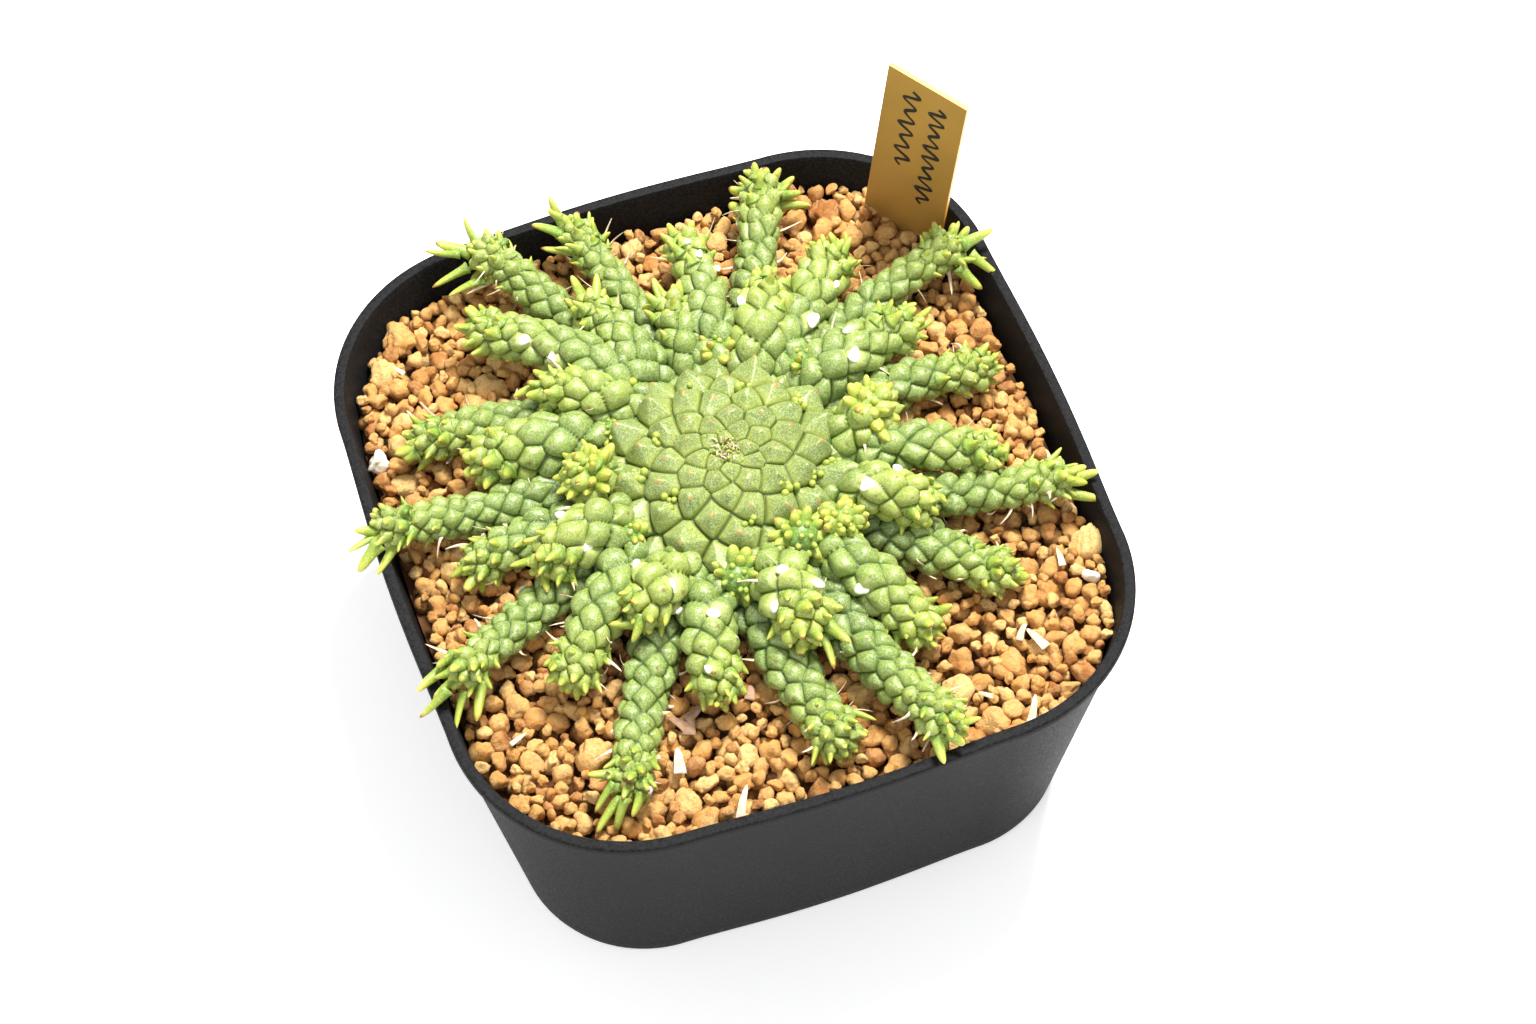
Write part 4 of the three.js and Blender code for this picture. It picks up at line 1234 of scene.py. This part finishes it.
def build_pot():
    """One closed skin: under the floor, out round the foot, up the wall, over the lip, and down inside."""
    rings = []

    def ring(points, z):
        rings.append(np.c_[points, np.full(len(points), z)])

    def inner(z, extra=0.0):
        return wall_outline(z, WALL + extra)

    foot = wall_outline(0, FOOT_WIDTH)
    ring(foot * CLOSED, FOOT_HEIGHT)
    ring(foot, FOOT_HEIGHT)
    ring(foot, FOOT_CHAMFER)
    ring(wall_outline(0, FOOT_WIDTH - FOOT_CHAMFER), 0)
    for turn in np.radians([90, 60, 30, 0]):
        ring(wall_outline(0, BASE_ROUND * (1 - math.cos(turn))), BASE_ROUND * (1 - math.sin(turn)))
    under = RIM_Z - LIP_DEPTH
    for z in np.linspace(1.5, under - 0.25, 24):
        ring(wall_outline(z, 0), z)
    ring(wall_outline(under, 0.16), under)
    ring(lip_outline(0.34), under)
    ring(lip_outline(0.06), under + 0.12)
    ring(lip_outline(0.0), under + 0.4)
    ring(lip_outline(0.02), RIM_Z - 0.42)
    for turn in np.radians([20, 45, 70, 90]):
        ring(lip_outline(0.02 + LIP_ROUND * (1 - math.cos(turn))), RIM_Z - LIP_ROUND * (1 - math.sin(turn)))
    ring(inner(RIM_Z, -0.2), RIM_Z)
    ring(inner(RIM_Z, -0.06), RIM_Z - 0.06)
    ring(inner(RIM_Z - 0.25), RIM_Z - 0.25)
    for z in np.linspace(RIM_Z - 2, FLOOR_TOP, 16):
        ring(inner(z), z)
    ring(inner(FLOOR_TOP) * CLOSED, FLOOR_TOP)
    points = np.concatenate(rings)
    faces = grid_faces(len(rings) + 1, len(rings[0])) % len(points)
    pot = add_mesh("pot_shell", points, faces, MATERIALS["pot"])
    cut_drains(pot)
    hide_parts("pot")
    pad = Parts()
    pad.add(*column(0, 0, CENTRE_PAD, 0, FOOT_HEIGHT + 0.3))
    pad.build("pot_centre_pad", MATERIALS["pot"], smooth=False)


# ---- Grit ----------------------------------------------------------------------------
def inside_pot(points, margin, z):
    """True where a point is at least `margin` inside the pot's inner wall at a height."""
    up = z / RIM_Z
    half = RIM_HALF * (BASE_TO_RIM + (1 - BASE_TO_RIM) * up) - WALL - LIP_PROUD * up
    corner = BASE_CORNER + (RIM_CORNER - LIP_PROUD - BASE_CORNER) * up - WALL
    q = np.abs(points) - (half - corner)
    far = np.linalg.norm(np.maximum(q, 0), axis=-1) + np.minimum(q.max(-1), 0) - corner
    return far < -margin


STONE_FLOOR = GRIT_Z - 5.2
STONE_TOP = GRIT_Z + 1.4
STONE_SIZES = (1.35, 2.3)
COARSE_SIZES, COARSE_SHARE = (2.2, 3.0), 0.06
FINE_SIZES, FINE_SHARE = (0.8, 1.3), 0.12
TOUCH = 0.87  # share of two radii at which two blocky stones meet
DROPS = 34  # places tried for each stone
# Stones that stand out, on the rim's plane as they are seen: [x, y, radius, material].
CHOSEN_STONES = [(-35.2, -39.6, 3.5, "grit"), (-41, 43, 2.8, "grit"), (20, -48, 2.9, "grit"),
                 (49, -30, 2.7, "grit"), (-51, 22, 1.9, "perlite"), (47, -36, 1.3, "perlite")]
STONES_AT_MOST = 6000
BATCH_POINTS = 90000  # in one mesh of stones
SHAPES_PER_LEVEL = 28
# After so many stones in a row find no room, only fine ones are tried, and then none.
COARSE_REFUSALS, ALL_REFUSALS = 1000, 1500


def settle_stones():
    """Stones dropped one at a time into the lowest place on offer. Returns centres and radii."""
    rng = rng_for(42)
    refused = 0
    places = np.empty((STONES_AT_MOST, 3))
    radii = np.empty(STONES_AT_MOST)
    count = len(CHOSEN_STONES)
    for k, (x, y, radius, _) in enumerate(CHOSEN_STONES):
        radii[k] = radius
        places[k] = seen_at(x, y, GRIT_Z + 0.7 - 0.45 * radius)
    half = RIM_HALF - 3
    while count < STONES_AT_MOST:
        radius = rng.uniform(*(STONE_SIZES if rng.random() > COARSE_SHARE else COARSE_SIZES))
        if rng.random() < FINE_SHARE or refused > COARSE_REFUSALS:
            radius = rng.uniform(*FINE_SIZES)
        options = rng.uniform(-half, half, (DROPS, 2))
        fits = inside_pot(options, radius * 0.92, GRIT_Z) & (np.hypot(*options.T) > HEAD_RADIUS - 6)
        options = options[fits]
        if not len(options):
            continue
        gap = options[:, None] - places[None, :count, :2]
        flat = (gap ** 2).sum(-1)
        touch = (radii[:count] + radius) * TOUCH
        lift = np.sqrt(np.maximum(touch ** 2 - flat, 0))
        stacked = np.where(flat < touch ** 2, places[:count, 2] + lift, -1e9)
        z = np.full(len(options), STONE_FLOOR + radius)
        z = np.maximum(z, stacked.max(1))
        best = int(np.argmin(z + radius * 0.3))
        if z[best] + radius > STONE_TOP:
            refused += 1
            if refused > ALL_REFUSALS:
                break
            continue
        places[count] = (*options[best], z[best])
        radii[count] = radius
        count += 1
    return places[:count], radii[:count]


def is_on_top(places, radii, k):
    """True where no higher stone covers stone k."""
    covers = np.hypot(*(places[:, :2] - places[k, :2]).T) < 0.5 * (radii + radii[k])
    return not np.any(covers & (places[:, 2] > places[k, 2] + 0.5))


def build_grit():
    """The stones, in a few meshes, with the finest shapes for those on top."""
    rng = rng_for(43)
    places, radii = settle_stones()
    shapes = {level: [stone_shape(level, rng) for _ in range(SHAPES_PER_LEVEL)] for level in BALLS}
    on_top = np.array([is_on_top(places, radii, k) for k in range(len(places))])
    order = np.lexsort((places[:, 0], ~on_top))
    batch, number = Parts(), 1
    tones = np.clip(rng.normal(0.5, 0.3, len(places)), 0, 1)
    for k in order:
        level = 2 if (not on_top[k]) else 4 if radii[k] > 2.6 else 3
        shape, faces = shapes[level][rng.integers(len(shapes[level]))]
        body = shape @ turn_matrix(rng).T * radii[k] + places[k]
        if k < len(CHOSEN_STONES) and CHOSEN_STONES[k][3] == "perlite":
            stone = add_mesh(f"pale_stone_{k}", body, faces, MATERIALS["perlite"])
            continue
        # depth is how far below the grit's top each point lies; the grit material turns it into painted
        # shade.
        batch.add(body, faces, tone=tones[k], depth=np.clip((GRIT_Z + 0.4 - body[:, 2]) / 3.2, 0, 1))
        if batch.count > BATCH_POINTS:
            finish_stones(batch, number)
            batch, number = Parts(), number + 1
    if batch.count:
        finish_stones(batch, number)


def finish_stones(batch, number):
    stones = batch.build(f"grit_stones_{number}", MATERIALS["grit"])
    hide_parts("grit")


def build_bed():
    """The mass of grit below the loose top stones, darker in colour as painted shade for the gaps between
    them.
    """
    rings = []
    for z in (GRIT_LOW[2], STONE_FLOOR + 1.6):
        edge = wall_outline(z, WALL + 0.3)
        rings.append(np.c_[edge, np.full(len(edge), z)])
    bottom, top = (ring * [CLOSED, CLOSED, 1] for ring in rings)
    points = np.concatenate([bottom, rings[0], rings[1], top])
    bed = add_mesh("grit_bed_painted_shade", points, grid_faces(4, len(top)), MATERIALS["bed"], smooth=False)
    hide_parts("grit")


# Loose husks and papery flakes on the grit, as they are seen: [x, y, length, width, turn in degrees].
HUSKS = [(-23.3, -44.8, 4.4, 2.0, 75), (-17, -55, 5.0, 1.6, 68), (30, -55, 4.6, 1.5, 55),
         (35, -43, 5.0, 1.7, 115), (33.5, -41, 4.0, 1.3, 60), (-45, -33, 3.0, 0.9, 20),
         (-30, -36, 3.4, 0.9, 35), (24, -50, 2.6, 0.9, 150), (44, -31, 3.4, 1.2, 80),
         (-43, 38, 2.8, 0.8, 130)]
FLAKES = [(-19.5, -39.1, 4.6, 2.2, 62), (-18.2, -37.8, 4.2, 1.8, 20), (-21.0, -38.6, 4.0, 1.7, 112),
          (-9.1, -37.1, 3.2, 1.7, 60)]


def build_litter():
    rng = rng_for(90)
    for name, material, places in (("husks", "husk", HUSKS), ("papery_flakes", "papery", FLAKES)):
        litter = Parts()
        for x, y, length, width, degrees in places:
            turn = math.radians(degrees)
            heading = unit([math.cos(turn), math.sin(turn), rng.uniform(0.05, 0.35)])
            across = np.array([-math.sin(turn), math.cos(turn), rng.uniform(-0.3, 0.3)])
            middle = seen_at(x, y, GRIT_Z + 1.7)
            bend = np.array([*rng.normal(0, 0.12, 2), -0.18])
            shape, faces, _ = blade(middle - heading * length / 2, heading, bend, across, length, width,
                                    flat=0.16, sharp=0.45, flare=0.1, rings=12, sides=10)
            litter.add(shape, faces)
        litter.build(name, MATERIALS[material])


build_pot()
build_grit()
build_bed()
build_litter()


# ---- Name tag ------------------------------------------------------------------------
def tag_frame():
    """The tag's centre, its directions along and up, and its outward face, from its CAD solid, with the
    points sampled on it.
    """
    points, area = surface_samples("name_tag")
    centre = np.average(points, axis=0, weights=area)
    spread = np.cov((points - centre).T, aweights=area)
    _, axes = np.linalg.eigh(spread)
    upward = axes[:, 2] * np.sign(axes[2, 2])
    facing = axes[:, 0] * (-1 if axes[:2, 0] @ centre[:2] > 0 else 1)
    along = np.cross(upward, facing)
    return centre, along, upward, facing, points


def tag_material():
    s = Shader("tag_plastic", roughness=0.38, specular=0.45)
    _, _, _, facing, _ = tag_frame()
    geometry = s.nodes.new("ShaderNodeNewGeometry")
    dot = s.nodes.new("ShaderNodeVectorMath")
    dot.operation = "DOT_PRODUCT"
    s.links.new(geometry.outputs["True Normal"], dot.inputs[0])
    dot.inputs[1].default_value = tuple(facing)
    # Painted glow: the tag's edges, away from its broad faces, get a bright yellow that stands in for light
    # shining through the plastic.
    rim = s.span(s.math("ABSOLUTE", dot.outputs["Value"]), 0.3, 0.8, 1.0, 0.0)
    face = s.mix(s.span(s.noise(60, 2.0), 0.3, 0.7), linear(172, 130, 62), linear(160, 122, 58))
    s.colour(s.mix(rim, face, linear(240, 172, 60)))
    s.bump((s.noise(1500, 2.0), 0.02, 0.3))
    return s.material


# Wavy pen strokes down the tag: [place across it, where it starts and ends as shares of the tag's
# height above the grit, number of waves].
PEN_LINES = [(0.36, 0.10, 0.78, 9), (-0.32, 0.08, 0.60, 6)]
PEN_POINTS = 160
PEN_SWAY = 1.45


def build_tag():
    """The CAD tag with its own material, and pen strokes on its outward face."""
    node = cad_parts["name_tag"]
    node.data.materials.clear()
    node.data.materials.append(tag_material())
    centre, along, upward, facing, points = tag_frame()
    local = (points - centre) @ np.stack([along, upward, facing], -1)
    half, top, face = np.abs(local[:, 0]).max(), local[:, 1].max(), local[:, 2].max()
    out_of_grit = top - (GRIT_Z - centre[2])
    parts = Parts()
    for across, first, last, waves in PEN_LINES:
        span = np.linspace(0, 1, PEN_POINTS)
        y = top - (first + (last - first) * span) * out_of_grit
        sway = np.sin(span * waves * 2 * math.pi) * (0.75 + 0.25 * np.sin(span * 17))
        line = np.stack([across * half + PEN_SWAY * sway, y, np.full(PEN_POINTS, face + 0.02)], -1)
        tangent = unit(np.gradient(line, axis=0))
        side = np.stack([-tangent[:, 1], tangent[:, 0], np.zeros(PEN_POINTS)], -1)
        edge = side * (0.33 + 0.06 * np.sin(span * 31))[:, None]
        lift = np.array([0, 0, 0.03])
        rows = np.stack([line - edge, line - edge * 0.7 + lift, line + edge * 0.7 + lift, line + edge], 1)
        world = rows.reshape(-1, 3) @ np.stack([along, upward, facing]) + centre
        parts.add(world, grid_faces(PEN_POINTS, 4))
    ink = parts.build("tag_scribble", MATERIALS["ink"])


build_tag()


# ---- Stage, lights and camera --------------------------------------------------------
FLOOR_GLOW = 0.37
SKY_STRENGTH = 0.62
SENSOR_WIDTH = 36


def build_stage():
    """A wide pale floor just under the pot."""
    bpy.ops.mesh.primitive_plane_add(size=6, location=(0, 0, -0.0002))
    floor = bpy.context.object
    floor.name = "floor"
    s = Shader("floor", roughness=0.9, specular=0.1)
    s.colour(s.mix(s.span(s.noise(4), 0.3, 0.7), (0.93, 0.93, 0.93, 1), (0.95, 0.95, 0.95, 1)))
    s.surface.inputs["Emission Color"].default_value = (1, 1, 1, 1)
    s.surface.inputs["Emission Strength"].default_value = FLOOR_GLOW
    floor.data.materials.append(s.material)


def area_light(name, place, target, size, power, colour=(1, 1, 1)):
    light = bpy.data.lights.new(name, "AREA")
    light.shape = "DISK"
    light.size = size
    light.energy = power
    light.color = colour
    lamp = bpy.data.objects.new(name, light)
    lamp.location = place
    lamp.rotation_euler = (Vector(target) - Vector(place)).to_track_quat("-Z", "Y").to_euler()
    bpy.context.scene.collection.objects.link(lamp)


build_stage()
TARGET = (0, 0, RIM_Z * MM)
area_light("key", (0.24, 0.22, 0.86), TARGET, 0.26, 18.0, (1.0, 0.99, 0.97))
area_light("fill", (-0.5, -0.6, 0.8), TARGET, 1.2, 5.0, (0.98, 0.99, 1.0))
world = bpy.data.worlds.new("studio")
world.use_nodes = True
world.node_tree.nodes["Background"].inputs["Color"].default_value = (1, 1, 1, 1)
world.node_tree.nodes["Background"].inputs["Strength"].default_value = SKY_STRENGTH
bpy.context.scene.world = world
bpy.context.scene.view_settings.view_transform = "Standard"


def build_camera():
    place, right, above, back = view_axes()
    data = bpy.data.cameras.new("camera")
    data.lens = LENS
    data.sensor_width = SENSOR_WIDTH
    data.clip_start = 0.01
    camera = bpy.data.objects.new("camera", data)
    turned = Matrix([list(row) for row in np.stack([right, above, back], -1)])
    camera.matrix_world = Matrix.Translation(place * MM) @ turned.to_4x4()
    bpy.context.scene.collection.objects.link(camera)
    bpy.context.scene.camera = camera


build_camera()
